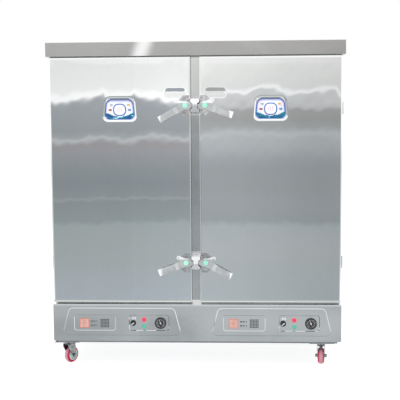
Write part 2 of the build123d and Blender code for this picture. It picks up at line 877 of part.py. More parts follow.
def build_switch(centre):
    """Selector switch: round base, slanted bar and spindle."""
    y1 = panel_face_y - switch_collar_height - knob_gap
    y0 = y1 - switch_base_height
    base = front_disc(0, 0, switch_knob_radius, y0, y1)
    grip = front_plate(SlotOverall(switch_grip_length, switch_grip_width), y0 - switch_grip_height, y0)
    grip = chamfer(grip.faces().sort_by(Axis.Y)[0].edges(), switch_grip_bevel)
    spindle = front_disc(0, 0, spindle_radius, y1, y1 + spindle_reach)
    tilted = Rot(0, switch_rest_tilt, 0) * (base + grip + spindle)
    return Pos(centre + switch_offset, 0, control_height) * tilted


def build_lamp(x, z):
    """Pilot lamp: flange, domed lens and the body behind the panel."""
    flange = front_disc(x, z, lamp_radius, panel_face_y - lamp_flange, panel_face_y)
    lens = front_disc(x, z, lamp_lens_radius, panel_face_y - lamp_flange - lamp_lens_height,
                      panel_face_y - lamp_flange)
    lens = chamfer(lens.faces().sort_by(Axis.Y)[0].edges(), lamp_lens_bevel)
    body = front_disc(x, z, lamp_body_radius, panel_face_y, panel_face_y + lamp_body_length)
    return flange + lens + body


# Base frame and casters

def caster_places():
    """Name, x and y of each caster's swivel axis."""
    front, rear = face_y + caster_setback, back_y - caster_setback
    return {"front_left": (caster_left_x, front), "front_right": (caster_right_x, front),
            "rear_left": (caster_left_x, rear), "rear_right": (caster_right_x, rear)}


def build_base_frame():
    """Four box rails, the corner pads for the casters, and the deck on top."""
    z0 = caster_height + caster_pad
    z1 = z0 + rail_height
    x = half_width - rail_inset
    y0, y1 = face_y + rail_inset, back_y - rail_inset
    pieces = [block(-x, x, y0, y0 + rail_width, z0, z1), block(-x, x, y1 - rail_width, y1, z0, z1)]
    for side in (-x, x - rail_width):
        pieces.append(block(side, side + rail_width, y0 + rail_width, y1 - rail_width, z0, z1))
    half = caster_pad_size / 2
    for cx, cy in caster_places().values():
        near = min(max(cy, y0 + half), y1 - half)
        pieces.append(block(cx - half, cx + half, near - half, near + half, caster_height, z0))
    pieces.append(block(-half_width + shell_sheet, half_width - shell_sheet, face_y + fascia_sheet,
                        back_y - shell_sheet, z1, z1 + deck_sheet))
    return pieces


def build_caster_plate():
    """Top plate, upper race and kingpin, with the swivel axis at the origin."""
    top = caster_height
    plate = Pos(0, 0, top - caster_plate_sheet / 2) * Box(caster_plate_length, caster_plate_width,
                                                           caster_plate_sheet)
    race_low = fork_crown_height + cup_height + race_gap
    race = upright(0, 0, race_radius, race_low, top - caster_plate_sheet)
    race = chamfer(race.faces().sort_by(Axis.Z)[0].edges(), race_bevel)
    crown_under = fork_crown_height - fork_sheet
    pin = upright(0, 0, kingpin_radius, crown_under - race_gap, race_low)
    head = upright(0, 0, kingpin_head_radius, crown_under - race_gap - kingpin_head_height,
                   crown_under - race_gap)
    return plate + race + pin + head


def build_fork():
    """Swivelling fork: pressed crown and legs, bearing cup, and the axle bolt; trail runs along +y."""
    inner, outer = fork_inner_width / 2, fork_inner_width / 2 + fork_sheet
    crown = fork_crown_height
    low = wheel_radius - fork_leg_half
    section = polygon_face([(-outer, low), (-inner, low), (-inner, crown - fork_sheet),
                            (inner, crown - fork_sheet), (inner, low), (outer, low),
                            (outer, crown), (-outer, crown)])
    section = fillet(section.vertices().sort_by(Axis.Y)[-2:], fork_bend)
    back, front = wheel_trail + fork_leg_half, wheel_trail - fork_leg_half
    bent = extrude(Plane.XZ * section, back + fork_crown_half, both=True)
    side = polygon_face([(-fork_crown_half, crown), (-fork_crown_half, crown - fork_front_drop),
                         (front, wheel_radius), (front + fork_toe_inset, low),
                         (back - fork_toe_inset, low), (back, wheel_radius),
                         (fork_crown_half, crown - fork_rear_drop), (fork_crown_half, crown)])
    fork = bent & extrude(Plane.YZ * side, outer + cut_margin, both=True)
    fork += upright(0, 0, cup_radius, crown, crown + cup_height)
    fork -= upright(0, 0, kingpin_radius + axle_clearance, crown - fork_sheet, crown + cup_height)
    axle = Rot(0, 90, 0) * Cylinder(axle_radius, 2 * outer)
    head = Rot(0, 90, 0) * Cylinder(axle_head_radius, axle_head_length)
    shift = outer + axle_head_length / 2
    axle_place = Pos(0, wheel_trail, wheel_radius)
    fork += axle_place * axle
    fork += axle_place * Pos(shift, 0, 0) * head
    fork += axle_place * Pos(-shift, 0, 0) * head
    return fork


def wheel_solid(section):
    """Turn a half section, drawn as radius and width, about the axle."""
    turned = revolve(Plane.XY * section, Axis.Y)
    return Pos(0, wheel_trail, wheel_radius) * Rot(0, 0, 90) * turned


def build_hub():
    """Moulded wheel centre: rim, web and boss."""
    half, web = hub_width / 2, hub_web / 2
    bore = axle_radius + axle_clearance
    rim = tyre_bore_radius - hub_rim
    boss = fork_inner_width / 2 - race_gap
    right = [(bore, boss), (hub_boss_radius, boss), (hub_boss_radius, web), (rim, web), (rim, half),
             (tyre_bore_radius, half)]
    left = [(r, -w) for r, w in right]
    return wheel_solid(polygon_face(right + left[::-1]))


def build_tyre():
    """Tyre moulded on the hub, with a round tread."""
    half = tyre_width / 2
    shoulder = wheel_radius - tyre_crown
    right = [(tyre_bore_radius, hub_width / 2), (tyre_bore_radius + tyre_shoulder_step, half),
             (shoulder, half)]
    left = [(r, -w) for r, w in right]
    sides = Polyline(*left[::-1], *right)
    tread = ThreePointArc((shoulder, half), (wheel_radius, 0), (shoulder, -half))
    return wheel_solid(make_face(sides + tread))


# Inside the chambers and the base

def build_rack_side(x, inward):
    """One ladder of tray rails on two posts; inward is the way the shelves point."""
    y0, y1 = inside_front + rack_setback, chamber_back - rack_back_gap
    top = rack_first_level + (rack_levels - 1) * rack_pitch + rack_sheet
    near = x + inward * rack_post_sheet
    section = [(near, 0), (near, -rack_side_drop), (near + inward * rack_sheet, -rack_side_drop),
               (near + inward * rack_sheet, -rack_sheet), (near + inward * rack_shelf, -rack_sheet),
               (near + inward * rack_shelf, 0)]
    rail = front_plate(polygon_face(section), y0, y1)
    pieces = []
    for start in (y0 + rack_post_inset, y1 - rack_post_inset - rack_post_width):
        pieces.append(block(min(x, near), max(x, near), start, start + rack_post_width,
                            chamber_floor, top))
    for i in range(rack_levels):
        pieces.append(Pos(0, 0, rack_first_level + i * rack_pitch + rack_sheet) * rail)
    return pieces


def build_racks():
    """Both ladders of each chamber."""
    sides = ((-chamber_out, 1), (-chamber_in, -1), (chamber_in, 1), (chamber_out, -1))
    return [piece for x, inward in sides for piece in build_rack_side(x, inward)]


def build_element(x):
    """Looped tubular heater over the chamber floor, on its flange at the back wall."""
    z = chamber_floor + element_height
    half = element_loop_width / 2
    rear = chamber_back - element_flange
    front = rear - element_length
    path = Line((x - half, rear, z), (x - half, front + half, z))
    path += ThreePointArc((x - half, front + half, z), (x, front, z), (x + half, front + half, z))
    path += Line((x + half, front + half, z), (x + half, rear, z))
    start = Plane(origin=(x - half, rear, z), x_dir=(1, 0, 0), z_dir=(0, -1, 0))
    tube = sweep(start * Circle(element_radius), path=path)
    flange = SlotOverall(element_loop_width + 2 * element_flange_radius, 2 * element_flange_radius)
    return tube + front_plate(Pos(x, z) * flange, rear, chamber_back)


def build_contactors():
    """Mounting rail on the deck with two contactors and a terminal block."""
    middle = back_y - contactor_setback
    base = deck_top + contactor_rail_height

    def across(x, width, depth, z0, z1):
        return block(x, x + width, middle - depth / 2, middle + depth / 2, z0, z1)

    pieces = [across(contactor_x - contactor_rail_length / 2, contactor_rail_length,
                     contactor_rail_width, deck_top, base)]
    for x in (contactor_x - contactor_spacing, contactor_x):
        body = across(x, contactor_width, contactor_depth, base, base + contactor_shoulder)
        body += across(x, contactor_width, contactor_cap_depth, base, base + contactor_height)
        pieces.append(body)
    pieces.append(across(contactor_x + contactor_spacing, contactor_width, terminal_depth,
                         base, base + terminal_height))
    return pieces


# Rear fittings

def build_float_box():
    """Water feed box on the back, with its inlet thread and two balance pipes into the base."""
    half = float_box_width / 2
    y0, y1 = back_y, back_y + float_box_depth
    z0, z1 = float_box_bottom, float_box_bottom + float_box_height
    box = block(-half, half, y0, y1, z0, z1)
    box -= block(-half + shell_sheet, half - shell_sheet, y0 + shell_sheet, y1 - shell_sheet,
                 z0 + shell_sheet, z1)
    cover = block(-half, half, y0, y1, z1, z1 + shell_sheet)
    middle = (y0 + y1) / 2
    seat = z1 + shell_sheet
    inlet = upright(0, middle, water_inlet_radius, seat, seat + water_inlet_length)
    inlet += upright(0, middle, water_nut_radius, seat, seat + water_nut_height)
    pieces = [box, cover, inlet]
    for x in (-balance_pipe_spread, balance_pipe_spread):
        pipe = elbow(x, middle, z0, balance_pipe_level, -1, balance_pipe_bend, back_y - balance_pipe_end)
        pieces.append(sweep_down(x, middle, z0, balance_pipe_radius, pipe))
    return pieces


def elbow(x, y, top, level, way, bend, end):
    """A line that drops from the top, turns towards +y or -y at the level, and runs on to the end."""
    slant = radians(45)
    turn = y + way * bend
    path = Line((x, y, top), (x, y, level + bend))
    path += ThreePointArc((x, y, level + bend),
                          (x, y + way * bend * (1 - cos(slant)), level + bend * (1 - sin(slant))),
                          (x, turn, level))
    return path + Line((x, turn, level), (x, end, level))


def sweep_down(x, y, top, radius, path):
    """A round bar along a path that starts downwards at the given point."""
    start = Plane(origin=(x, y, top), x_dir=(1, 0, 0), z_dir=(0, 0, -1))
    return sweep(start * Circle(radius), path=path)


def build_drain(x):
    """Drain tube from the chamber floor, bent to the rear, with its screwed cap."""
    top = chamber_floor - liner_sheet
    end = back_y + drain_reach - drain_cap_length
    path = elbow(x, drain_y, top, drain_height, 1, drain_bend, end)
    tube = sweep_down(x, drain_y, top, drain_radius, path)
    tube -= sweep_down(x, drain_y, top, drain_radius - drain_wall, path)
    return [tube, front_disc(x, drain_height, drain_cap_radius, end, back_y + drain_reach)]


def build_vent(x):
    """Steam outlet through the back wall, with its flange against the rear sheet."""
    y0 = chamber_back + liner_sheet
    y1 = back_y + vent_reach
    tube = front_disc(x, vent_level, vent_radius, y0, y1)
    tube += front_disc(x, vent_level, vent_flange_radius, back_y, back_y + vent_flange)
    return tube - front_disc(x, vent_level, vent_radius - vent_wall, y0, y1)


def build_service_cover():
    """Louvred pan pressed out of a flat flange over the service opening."""
    half = service_cover_width / 2
    x0, x1 = service_cover_offset - half, service_cover_offset + half
    z0, z1 = service_cover_bottom, service_cover_bottom + service_cover_height
    y1 = back_y + service_cover_rise
    rim, hollow = service_cover_rim, service_cover_rim + service_cover_bevel
    pan = block(x0 + rim, x1 - rim, back_y, y1, z0 + rim, z1 - rim)
    pan = chamfer(pan.faces().sort_by(Axis.Y)[-1].edges(), service_cover_bevel)
    pan += block(x0, x1, back_y, back_y + shell_sheet, z0, z1)
    pan -= block(x0 + hollow, x1 - hollow, back_y, y1 - shell_sheet, z0 + hollow, z1 - hollow)
    middle = (z0 + z1) / 2
    for side in (-1, 1):
        for i in range(service_slots):
            row = service_cover_offset + side * service_slot_bank
            x = row + (i - (service_slots - 1) / 2) * service_slot_pitch
            pan -= block(x - service_slot_width / 2, x + service_slot_width / 2,
                         y1 - shell_sheet, y1, middle - service_slot_length / 2,
                         middle + service_slot_length / 2)
    return pan


def build_gland():
    """Cable gland: hexagonal nut, bevelled stem and bore."""
    y0, y1 = back_y - gland_inside, back_y + gland_reach
    nut = front_plate(Pos(gland_x, gland_height) * RegularPolygon(gland_nut_radius, 6), back_y,
                      back_y + gland_nut_length)
    stem = front_disc(gland_x, gland_height, gland_thread_radius, y0, y1)
    stem = chamfer(stem.faces().sort_by(Axis.Y)[-1].edges(), gland_bevel)
    return nut + stem - front_disc(gland_x, gland_height, gland_bore_radius, y0, y1)


def build_cabinet_screws():
    """Pan heads on the hinge leaves, keepers and service cover."""
    heads = []
    for level in hinge_screw_levels():
        head = side_screw(half_width + hinge_leaf_thickness,
                          hinge_y + hinge_leaf_length - hinge_screw_inset, level)
        heads += [head, mirrored(head)]
    foot_middle = (keeper_foot_start + keeper_sheet + keeper_foot_end) / 2
    seat = frame_y - keeper_sheet
    for level in latch_levels.values():
        for z in (level - foot_middle, level + foot_middle):
            heads.append(front_disc(0, z, screw_head_radius, seat - screw_head_height, seat))
    seat = back_y + shell_sheet
    across = service_cover_width / 2 - service_screw_inset
    for x in (service_cover_offset - across, service_cover_offset + across):
        for inset in (service_screw_inset, service_cover_height - service_screw_inset):
            heads.append(front_disc(x, service_cover_bottom + inset, screw_head_radius,
                                    seat, seat + screw_head_height))
    return heads


# Write every node

os.makedirs("parts", exist_ok=True)

save("base_frame", *build_base_frame())
save("base_fascia", build_fascia())
side_panel = build_side_panel()
save("right_side_panel", side_panel)
save("left_side_panel", mirrored(side_panel))
save("back_panel", build_back_panel())
save("top_cover", build_top_cover())
save("front_frame", build_front_frame())
chamber = build_chamber()
save("right_chamber", *chamber)
save("left_chamber", *[mirrored(sheet) for sheet in chamber])
save("cabinet_insulation", *build_insulation())
save("tray_racks", *build_racks())
heaters = []
for middle in (-chamber_middle, chamber_middle):
    for shift in (-element_spacing / 2, element_spacing / 2):
        heaters.append(build_element(middle + shift))
save("heating_elements", *heaters)
save("latch_keepers", *build_keepers())
save("control_bezels", *build_bezels())
save("gauge_lenses", build_gauge_lens(-field_centre), build_gauge_lens(field_centre))
save("red_lamps", *[build_lamp(c + lamp_offset, lamp_levels[0]) for c in (-field_centre, field_centre)])
save("green_lamps", *[build_lamp(c + lamp_offset, lamp_levels[1]) for c in (-field_centre, field_centre)])
save("rear_service_cover", build_service_cover())
save("contactors", *build_contactors())
save("float_box", *build_float_box())
save("drain_pipes", *build_drain(-chamber_middle), *build_drain(chamber_middle))
save("steam_vents", build_vent(-chamber_middle), build_vent(chamber_middle))
save("cable_gland", build_gland())
save("cabinet_screws", *build_cabinet_screws())

for side, centre in (("left", -field_centre), ("right", field_centre)):
    save(f"{side}_gauge_pointer", build_pointer(centre))
    save(f"{side}_switch_knob", build_switch(centre))

leaves = [build_cabinet_leaf(level) for level in hinge_levels]
pins = [build_hinge_pin(level) for level in hinge_levels]
save("cabinet_hinge_leaves", *leaves, *pins, *[mirrored(piece) for piece in leaves + pins])

door_leaf_screws = []
for level in hinge_screw_levels():
    door_leaf_screws.append(side_screw(door_outer_x + hinge_leaf_thickness,
                                       door_back_y - hinge_leaf_length + hinge_screw_inset, level))

right_door = {
    "door_skin": [build_door_skin()],
    "door_inner_panel": [build_inner_panel()],
    "door_gasket": [build_gasket()],
    "door_badge": [build_badge()],
    "door_hinge_leaves": [build_door_leaf(level) for level in hinge_levels] + door_leaf_screws,
    "latch_plates": [p for level in latch_levels.values() for p in build_latch_plate(level)],
    "latch_studs": [build_latch_stud(level) for level in latch_levels.values()],
}
for piece, shapes in right_door.items():
    save(f"right_{piece}", *shapes)
    save(f"left_{piece}", *[mirrored(shape) for shape in shapes])

lever_drops = {
    ("upper", "left"): lever_drop_upper_left, ("upper", "right"): lever_drop_upper_right,
    ("lower", "left"): lever_drop_lower_left, ("lower", "right"): lever_drop_lower_right,
}
for (height, side), drop in lever_drops.items():
    save(f"{height}_{side}_latch_lever", placed_lever(side, latch_levels[height], drop))

caster_plate = build_caster_plate()
fork, hub, tyre = build_fork(), build_hub(), build_tyre()
caster_plates = []
for corner, (x, y) in caster_places().items():
    caster_plates.append(Pos(x, y, 0) * caster_plate)
    turned = Pos(x, y, 0) * Rot(0, 0, swivel_angles[corner])
    save(f"{corner}_fork", turned * fork)
    save(f"{corner}_hub", turned * hub)
    save(f"{corner}_tyre", turned * tyre)
save("caster_plates", *caster_plates)
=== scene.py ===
"""Rice steaming cabinet with two doors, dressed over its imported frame. Lengths are in metres."""

import json
import math

import bpy
import numpy as np
from mathutils import Matrix, Vector


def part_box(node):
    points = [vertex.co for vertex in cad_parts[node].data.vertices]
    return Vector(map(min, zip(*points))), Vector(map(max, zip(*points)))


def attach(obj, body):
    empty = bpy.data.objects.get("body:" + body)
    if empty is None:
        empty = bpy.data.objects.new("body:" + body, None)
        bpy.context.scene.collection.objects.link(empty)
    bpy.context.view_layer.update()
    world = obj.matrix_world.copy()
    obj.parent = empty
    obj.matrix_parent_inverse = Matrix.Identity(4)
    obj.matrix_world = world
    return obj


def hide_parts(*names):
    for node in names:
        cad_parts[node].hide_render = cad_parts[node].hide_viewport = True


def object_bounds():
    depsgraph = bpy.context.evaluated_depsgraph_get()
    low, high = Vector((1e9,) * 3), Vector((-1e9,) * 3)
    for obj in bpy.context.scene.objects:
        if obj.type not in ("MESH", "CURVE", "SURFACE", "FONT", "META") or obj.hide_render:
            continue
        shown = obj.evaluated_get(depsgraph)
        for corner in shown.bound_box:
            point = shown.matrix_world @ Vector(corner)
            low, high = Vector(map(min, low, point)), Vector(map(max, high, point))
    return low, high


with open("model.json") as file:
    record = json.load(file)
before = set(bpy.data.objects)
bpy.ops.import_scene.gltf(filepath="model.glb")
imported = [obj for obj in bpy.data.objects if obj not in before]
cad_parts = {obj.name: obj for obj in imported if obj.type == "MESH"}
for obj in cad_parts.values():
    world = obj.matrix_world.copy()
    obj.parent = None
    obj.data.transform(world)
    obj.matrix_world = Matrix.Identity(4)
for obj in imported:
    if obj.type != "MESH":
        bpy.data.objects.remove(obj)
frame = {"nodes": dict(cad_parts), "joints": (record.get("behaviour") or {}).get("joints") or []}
cad_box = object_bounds()


# Camera. It stands four metres in front of the doors, a little right of the middle and
# just below the upper latches, and looks slightly down along the front.

camera_place = Vector((0.2115, -4.3124, 1.1869))
camera_pitch = math.radians(5.392)
camera_turn = math.radians(-2.726)
camera_roll = math.radians(-0.383)

ahead = Vector((math.sin(camera_turn) * math.cos(camera_pitch),
                math.cos(camera_turn) * math.cos(camera_pitch), -math.sin(camera_pitch)))
level = Vector((math.cos(camera_turn), -math.sin(camera_turn), 0.0))
upright = level.cross(ahead)
across = math.cos(camera_roll) * level + math.sin(camera_roll) * upright
above = math.cos(camera_roll) * upright - math.sin(camera_roll) * level

camera = bpy.data.objects.new("camera", bpy.data.cameras.new("camera"))
bpy.context.collection.objects.link(camera)
bpy.context.scene.camera = camera
camera.data.sensor_width = 36.0
camera.data.lens = 76.5
camera.data.clip_end = 60.0
camera.matrix_world = Matrix((
    (across.x, above.x, -ahead.x, camera_place.x),
    (across.y, above.y, -ahead.y, camera_place.y),
    (across.z, above.z, -ahead.z, camera_place.z),
    (0.0, 0.0, 0.0, 1.0)))


# Studio. A plain white room with a pale floor and two soft lamps. The polished sheet mirrors a
# bright wall above eye level and a duller one below it, and everything else gets even light.

def paint(red, green, blue):
    """A colour named by its 0 to 255 screen values, as the linear light that shaders want."""
    shares = [value / 255 for value in (red, green, blue)]
    return [v / 12.92 if v <= 0.04045 else ((v + 0.055) / 1.055) ** 2.4 for v in shares] + [1.0]


def wire(tree, kind, feeds=None, **settings):
    """Adds one shader node and joins or sets the sockets named in feeds."""
    node = tree.nodes.new(kind)
    for name, value in settings.items():
        setattr(node, name, value)
    for socket, feed in (feeds or {}).items():
        if isinstance(feed, bpy.types.NodeSocket):
            tree.links.new(feed, node.inputs[socket])
        else:
            node.inputs[socket].default_value = feed
    return node


def maths(tree, operation, *values):
    """One step of arithmetic."""
    return wire(tree, "ShaderNodeMath", dict(enumerate(values)), operation=operation).outputs[0]


def span(tree, value, low, high, first=0.0, last=1.0, **settings):
    """Carries the stretch from low to high onto first to last, and holds its ends outside it."""
    return wire(tree, "ShaderNodeMapRange", {"Value": value, "From Min": low, "From Max": high,
                                             "To Min": first, "To Max": last}, **settings).outputs[0]


def mixed(tree, share, first, second):
    """One colour that turns into another as a share goes from 0 to 1."""
    return wire(tree, "ShaderNodeMixRGB", {0: share, 1: first, 2: second}).outputs[0]


def shades(tree, feed, stops):
    """A ramp of colours along a value from 0 to 1."""
    ramp = wire(tree, "ShaderNodeValToRGB", {0: feed})
    elements = ramp.color_ramp.elements
    elements[0].position, elements[0].color = stops[0]
    elements[1].position, elements[1].color = stops[-1]
    for place, colour in stops[1:-1]:
        elements.new(place).color = colour
    return ramp.outputs["Color"]


sheet_share = 0.80
wall_foot, wall_head, wall_blur = -16.0, 6.0, 0.5
mullion_bearing, behind_mullion = -3.0, (-3.3, -2.8)
floor_starts = (-12.5, -12.1)
beside_starts = (12.0, 20.0)

# What the doors mirror, by elevation in degrees; the last table is its strength by bearing.
left_wall = (
    (-16.0, (172, 176, 178)), (-14.9, (168, 173, 176)), (-13.4, (160, 164, 165)), (-12.9, (176, 180, 181)),
    (-12.5, (190, 193, 193)), (-12.2, (188, 191, 191)), (-11.95, (166, 174, 180)), (-11.3, (166, 174, 180)),
    (-9.6, (161, 168, 170)), (-7.0, (156, 164, 165)), (-6.7, (142, 150, 153)), (-5.4, (137, 144, 147)),
    (-5.25, (150, 157, 160)), (-5.1, (138, 145, 148)), (-4.2, (134, 141, 145)), (-3.3, (138, 145, 148)),
    (-2.0, (152, 153, 157)), (-1.6, (154, 151, 152)), (-1.42, (168, 171, 174)), (-1.25, (184, 188, 190)),
    (-1.05, (160, 164, 167)), (-0.7, (151, 155, 158)), (0.65, (156, 161, 165)), (1.0, (162, 166, 169)),
    (1.15, (182, 185, 188)), (1.25, (222, 223, 223)), (1.36, (253, 253, 253)), (1.6, (252, 252, 252)),
    (1.95, (237, 238, 237)), (3.3, (231, 232, 230)), (4.0, (241, 241, 240)), (6.0, (236, 236, 235)))
right_wall = (
    (-16.0, (170, 174, 176)), (-14.9, (168, 172, 174)), (-14.4, (172, 176, 178)), (-13.9, (190, 194, 196)),
    (-13.3, (194, 198, 199)), (-12.8, (182, 186, 187)), (-12.2, (178, 182, 183)), (-11.95, (172, 180, 184)),
    (-10.0, (173, 180, 182)), (-8.7, (176, 181, 183)), (-7.2, (171, 178, 181)), (-6.8, (155, 162, 165)),
    (-5.6, (158, 163, 167)), (-4.7, (156, 161, 163)), (-3.3, (155, 161, 163)), (-2.7, (160, 165, 168)),
    (-2.0, (173, 177, 180)), (-1.4, (179, 183, 185)), (-1.1, (188, 192, 194)), (-0.9, (178, 182, 185)),
    (-0.6, (168, 170, 171)), (0.0, (163, 164, 164)), (0.6, (168, 169, 169)), (0.75, (190, 191, 192)),
    (0.95, (203, 204, 204)), (1.3, (210, 212, 213)), (1.4, (250, 251, 252)), (1.52, (246, 246, 246)),
    (1.8, (224, 225, 224)), (2.6, (226, 227, 225)), (4.0, (240, 240, 238)), (6.0, (236, 236, 235)))
ceiling_and_floor = (
    (-90, (128, 130, 131)), (-50, (150, 153, 154)), (-34, (200, 205, 201)), (-28, (226, 231, 226)),
    (-22, (226, 231, 226)), (-18, (180, 184, 185)), (-16, (172, 176, 178)), (6, (236, 236, 235)),
    (14, (240, 240, 240)), (20, (252, 252, 252)), (30, (250, 250, 250)), (42, (216, 217, 218)),
    (90, (236, 236, 236)))
beside_it = (
    (-90, (128, 130, 131)), (-45, (172, 174, 175)), (-22, (192, 195, 196)), (-17, (204, 206, 207)),
    (-14.5, (246, 247, 247)), (-11.5, (246, 247, 247)), (-9, (204, 207, 208)), (-3, (210, 212, 213)),
    (-0.8, (252, 252, 252)), (8, (252, 252, 252)), (30, (232, 233, 233)), (90, (236, 236, 236)))
along_the_wall = (
    (-14.0, 0.96), (-11.5, 0.97), (-8.0, 1.0), (-5.2, 1.07), (-3.3, 1.10), (-2.7, 1.02), (0.0, 0.98),
    (2.0, 0.93), (4.0, 0.86), (6.0, 0.81), (10.0, 0.80))


def room_light():
    """White to the eye, layered by elevation for reflections, even for everything else."""
    room = bpy.data.worlds.new("studio_room")
    room.use_nodes = True
    bpy.context.scene.world = room
    tree = room.node_tree
    tree.nodes.clear()
    way = wire(tree, "ShaderNodeTexCoord").outputs["Generated"]
    axes = wire(tree, "ShaderNodeSeparateXYZ", {0: way}).outputs
    rise = maths(tree, "ARCSINE", axes["Z"])
    bearing = maths(tree, "ARCTAN2", axes["X"], maths(tree, "MULTIPLY", axes["Y"], -1.0))

    def share(value, low, high, **settings):
        """Where an angle lies between two others, from 0 to 1."""
        return span(tree, value, math.radians(low), math.radians(high), **settings)

    def layers(stops, low, high):
        """The room's colours by elevation."""
        return shades(tree, share(rise, low, high),
                      [((angle - low) / (high - low), paint(*colour)) for angle, colour in stops])

    halves = mixed(tree, share(bearing, *behind_mullion, interpolation_type="SMOOTHSTEP"),
                   layers(left_wall, wall_foot, wall_head), layers(right_wall, wall_foot, wall_head))
    low, high, peak = along_the_wall[0][0], along_the_wall[-1][0], max(v for _, v in along_the_wall)
    stops = [((angle - low) / (high - low), [v / peak] * 3 + [1.0]) for angle, v in along_the_wall]
    strength = shades(tree, share(bearing, low, high), stops)
    steady = mixed(tree, share(rise, *floor_starts), [1.0 / peak] * 3 + [1.0], strength)
    front = wire(tree, "ShaderNodeVectorMath", {0: halves, 1: steady}, operation="MULTIPLY").outputs[0]
    off_middle = maths(tree, "SUBTRACT", rise, math.radians((wall_foot + wall_head) / 2))
    reach = (wall_head - wall_foot) / 2
    ahead_of_it = mixed(tree, share(maths(tree, "ABSOLUTE", off_middle), reach - wall_blur, reach), front,
                        layers(ceiling_and_floor, -90, 90))
    turned = maths(tree, "ABSOLUTE", maths(tree, "ADD", bearing, math.radians(-mullion_bearing)))
    seen = mixed(tree, share(turned, *beside_starts, interpolation_type="SMOOTHSTEP"), ahead_of_it,
                 layers(beside_it, -90, 90))

    def glow(colour, power):
        """Light of one colour or of one set of layers."""
        return wire(tree, "ShaderNodeBackground", {"Color": colour, "Strength": power}).outputs[0]

    mirrored = glow(seen, peak / sheet_share)
    soft = glow(paint(246, 248, 250), 0.92)
    plain = glow(paint(255, 255, 255), 1.0)
    ray = wire(tree, "ShaderNodeLightPath").outputs
    lighting = wire(tree, "ShaderNodeMixShader", {0: ray["Is Glossy Ray"], 1: soft, 2: mirrored}).outputs[0]
    view = wire(tree, "ShaderNodeMixShader", {0: ray["Is Camera Ray"], 1: lighting, 2: plain}).outputs[0]
    wire(tree, "ShaderNodeOutputWorld", {0: view})


room_light()
bpy.context.scene.view_settings.view_transform = "Standard"


def shape_piece(name, corners, faces, finishes, crease=None):
    """Shows a mesh as a piece of that name, smooth up to the crease angle if one is given."""
    mesh = bpy.data.meshes.new(name)
    mesh.from_pydata(corners, [], faces)
    if crease:
        mesh.polygons.foreach_set("use_smooth", [True] * len(faces))
        mesh.set_sharp_from_angle(angle=math.radians(crease))
    for finish in finishes:
        mesh.materials.append(finish)
    piece = bpy.data.objects.new(name, mesh)
    bpy.context.collection.objects.link(piece)
    return piece


def new_finish(name, **settings):
    """A named material; its plain settings go on the shader's own sockets."""
    material = bpy.data.materials.new(name)
    material.use_nodes = True
    tree = material.node_tree
    skin = tree.nodes["Principled BSDF"]
    for socket, value in settings.items():
        skin.inputs[socket.replace("_", " ")].default_value = value
    return material, tree, skin


floor_half = 14.0
pale_floor = new_finish("pale_floor", Base_Color=paint(158, 159, 160), Roughness=0.8,
                        Emission_Color=paint(255, 255, 255), Emission_Strength=0.82)[0]
studio_floor = shape_piece(
    "studio_floor",
    [(x * floor_half, y * floor_half, cad_box[0].z) for x, y in ((-1, -1), (1, -1), (1, 1), (-1, 1))],
    [(0, 1, 2, 3)], [pale_floor])
studio_floor.visible_glossy = False

for lamp_name, lamp_place, lamp_aim, lamp_size, lamp_power in (
        ("soft_front", (-1.6, -3.6, 2.9), (0.0, -0.3, 0.7), 2.2, 34.0),
        ("soft_top", (0.8, -0.6, 3.6), (0.0, 0.0, 0.6), 2.6, 26.0)):
    light = bpy.data.lights.new(lamp_name, "AREA")
    light.size = lamp_size
    light.energy = lamp_power
    lamp = bpy.data.objects.new(lamp_name, light)
    bpy.context.collection.objects.link(lamp)
    lamp.location = lamp_place
    lamp.rotation_mode = "QUATERNION"
    lamp.rotation_quaternion = (Vector(lamp_aim) - Vector(lamp_place)).to_track_quat("-Z", "Y")
    lamp.visible_glossy = False


# Cabinet shell. Folded stainless sheet on a welded base frame: two sides, a back, a top cover
# that overhangs the body and a fascia below the doors, spot welded at their folds.

def noise(tree, place, scale, detail, **more):
    """Cloudy variation over a surface."""
    feeds = {"Vector": place, "Scale": scale, "Detail": detail, **more}
    return wire(tree, "ShaderNodeTexNoise", feeds).outputs[0]


def relief(tree, skin, height, depth, strength=0.3):
    """Raises a surface finely by a height."""
    raised = wire(tree, "ShaderNodeBump", {"Height": height, "Strength": strength, "Distance": depth})
    tree.links.new(raised.outputs[0], skin.inputs["Normal"])


def stainless(name, dull, clean, smooth, rough, grain, scratch=0.00002, smudge=5.0, metal=1.0, patch=None):
    """Sheet steel: fine lines along the grain, and smudges that shift its grey and its shine."""
    material, tree, skin = new_finish(name, Metallic=metal)
    place = wire(tree, "ShaderNodeTexCoord").outputs["Object"]
    drawn = wire(tree, "ShaderNodeMapping", {"Vector": place, "Scale": grain}).outputs[0]
    lines = noise(tree, drawn, 1.0, 3.0, Roughness=0.6)
    spread = span(tree, noise(tree, place, smudge, 4.0, Roughness=0.55, Distortion=0.4), 0.3, 0.7)
    grey = mixed(tree, spread, (*dull, 1.0), (*clean, 1.0))
    dash = span(tree, lines, 0.25, 0.75, 0.955, 1.02)
    tint = wire(tree, "ShaderNodeVectorMath", {0: grey, 1: dash}, operation="MULTIPLY").outputs[0]
    if patch:
        where, colour = patch
        tint = mixed(tree, where(tree, place), tint, (*colour, 1.0))
    tree.links.new(tint, skin.inputs["Base Color"])
    shine = span(tree, maths(tree, "MULTIPLY", lines, spread), 0.1, 0.55, smooth, rough)
    tree.links.new(shine, skin.inputs["Roughness"])
    relief(tree, skin, lines, scratch, 0.35)
    return material


def dress(finish, *nodes):
    """Gives carried-over CAD nodes their finish."""
    for node in nodes:
        for place in frame["nodes"][node].material_slots:
            place.material = finish


upright_grain = (1500.0, 1500.0, 26.0)
level_grain = (26.0, 1500.0, 1500.0)
streak_middle, streak_height = -0.245, 1.515
streak_lean, streak_half = 0.35, 0.066
front_starts, front_ends = 0.001, 0.004
glint_foot, glint_full, glint_share = 0.011, 0.007, 0.8


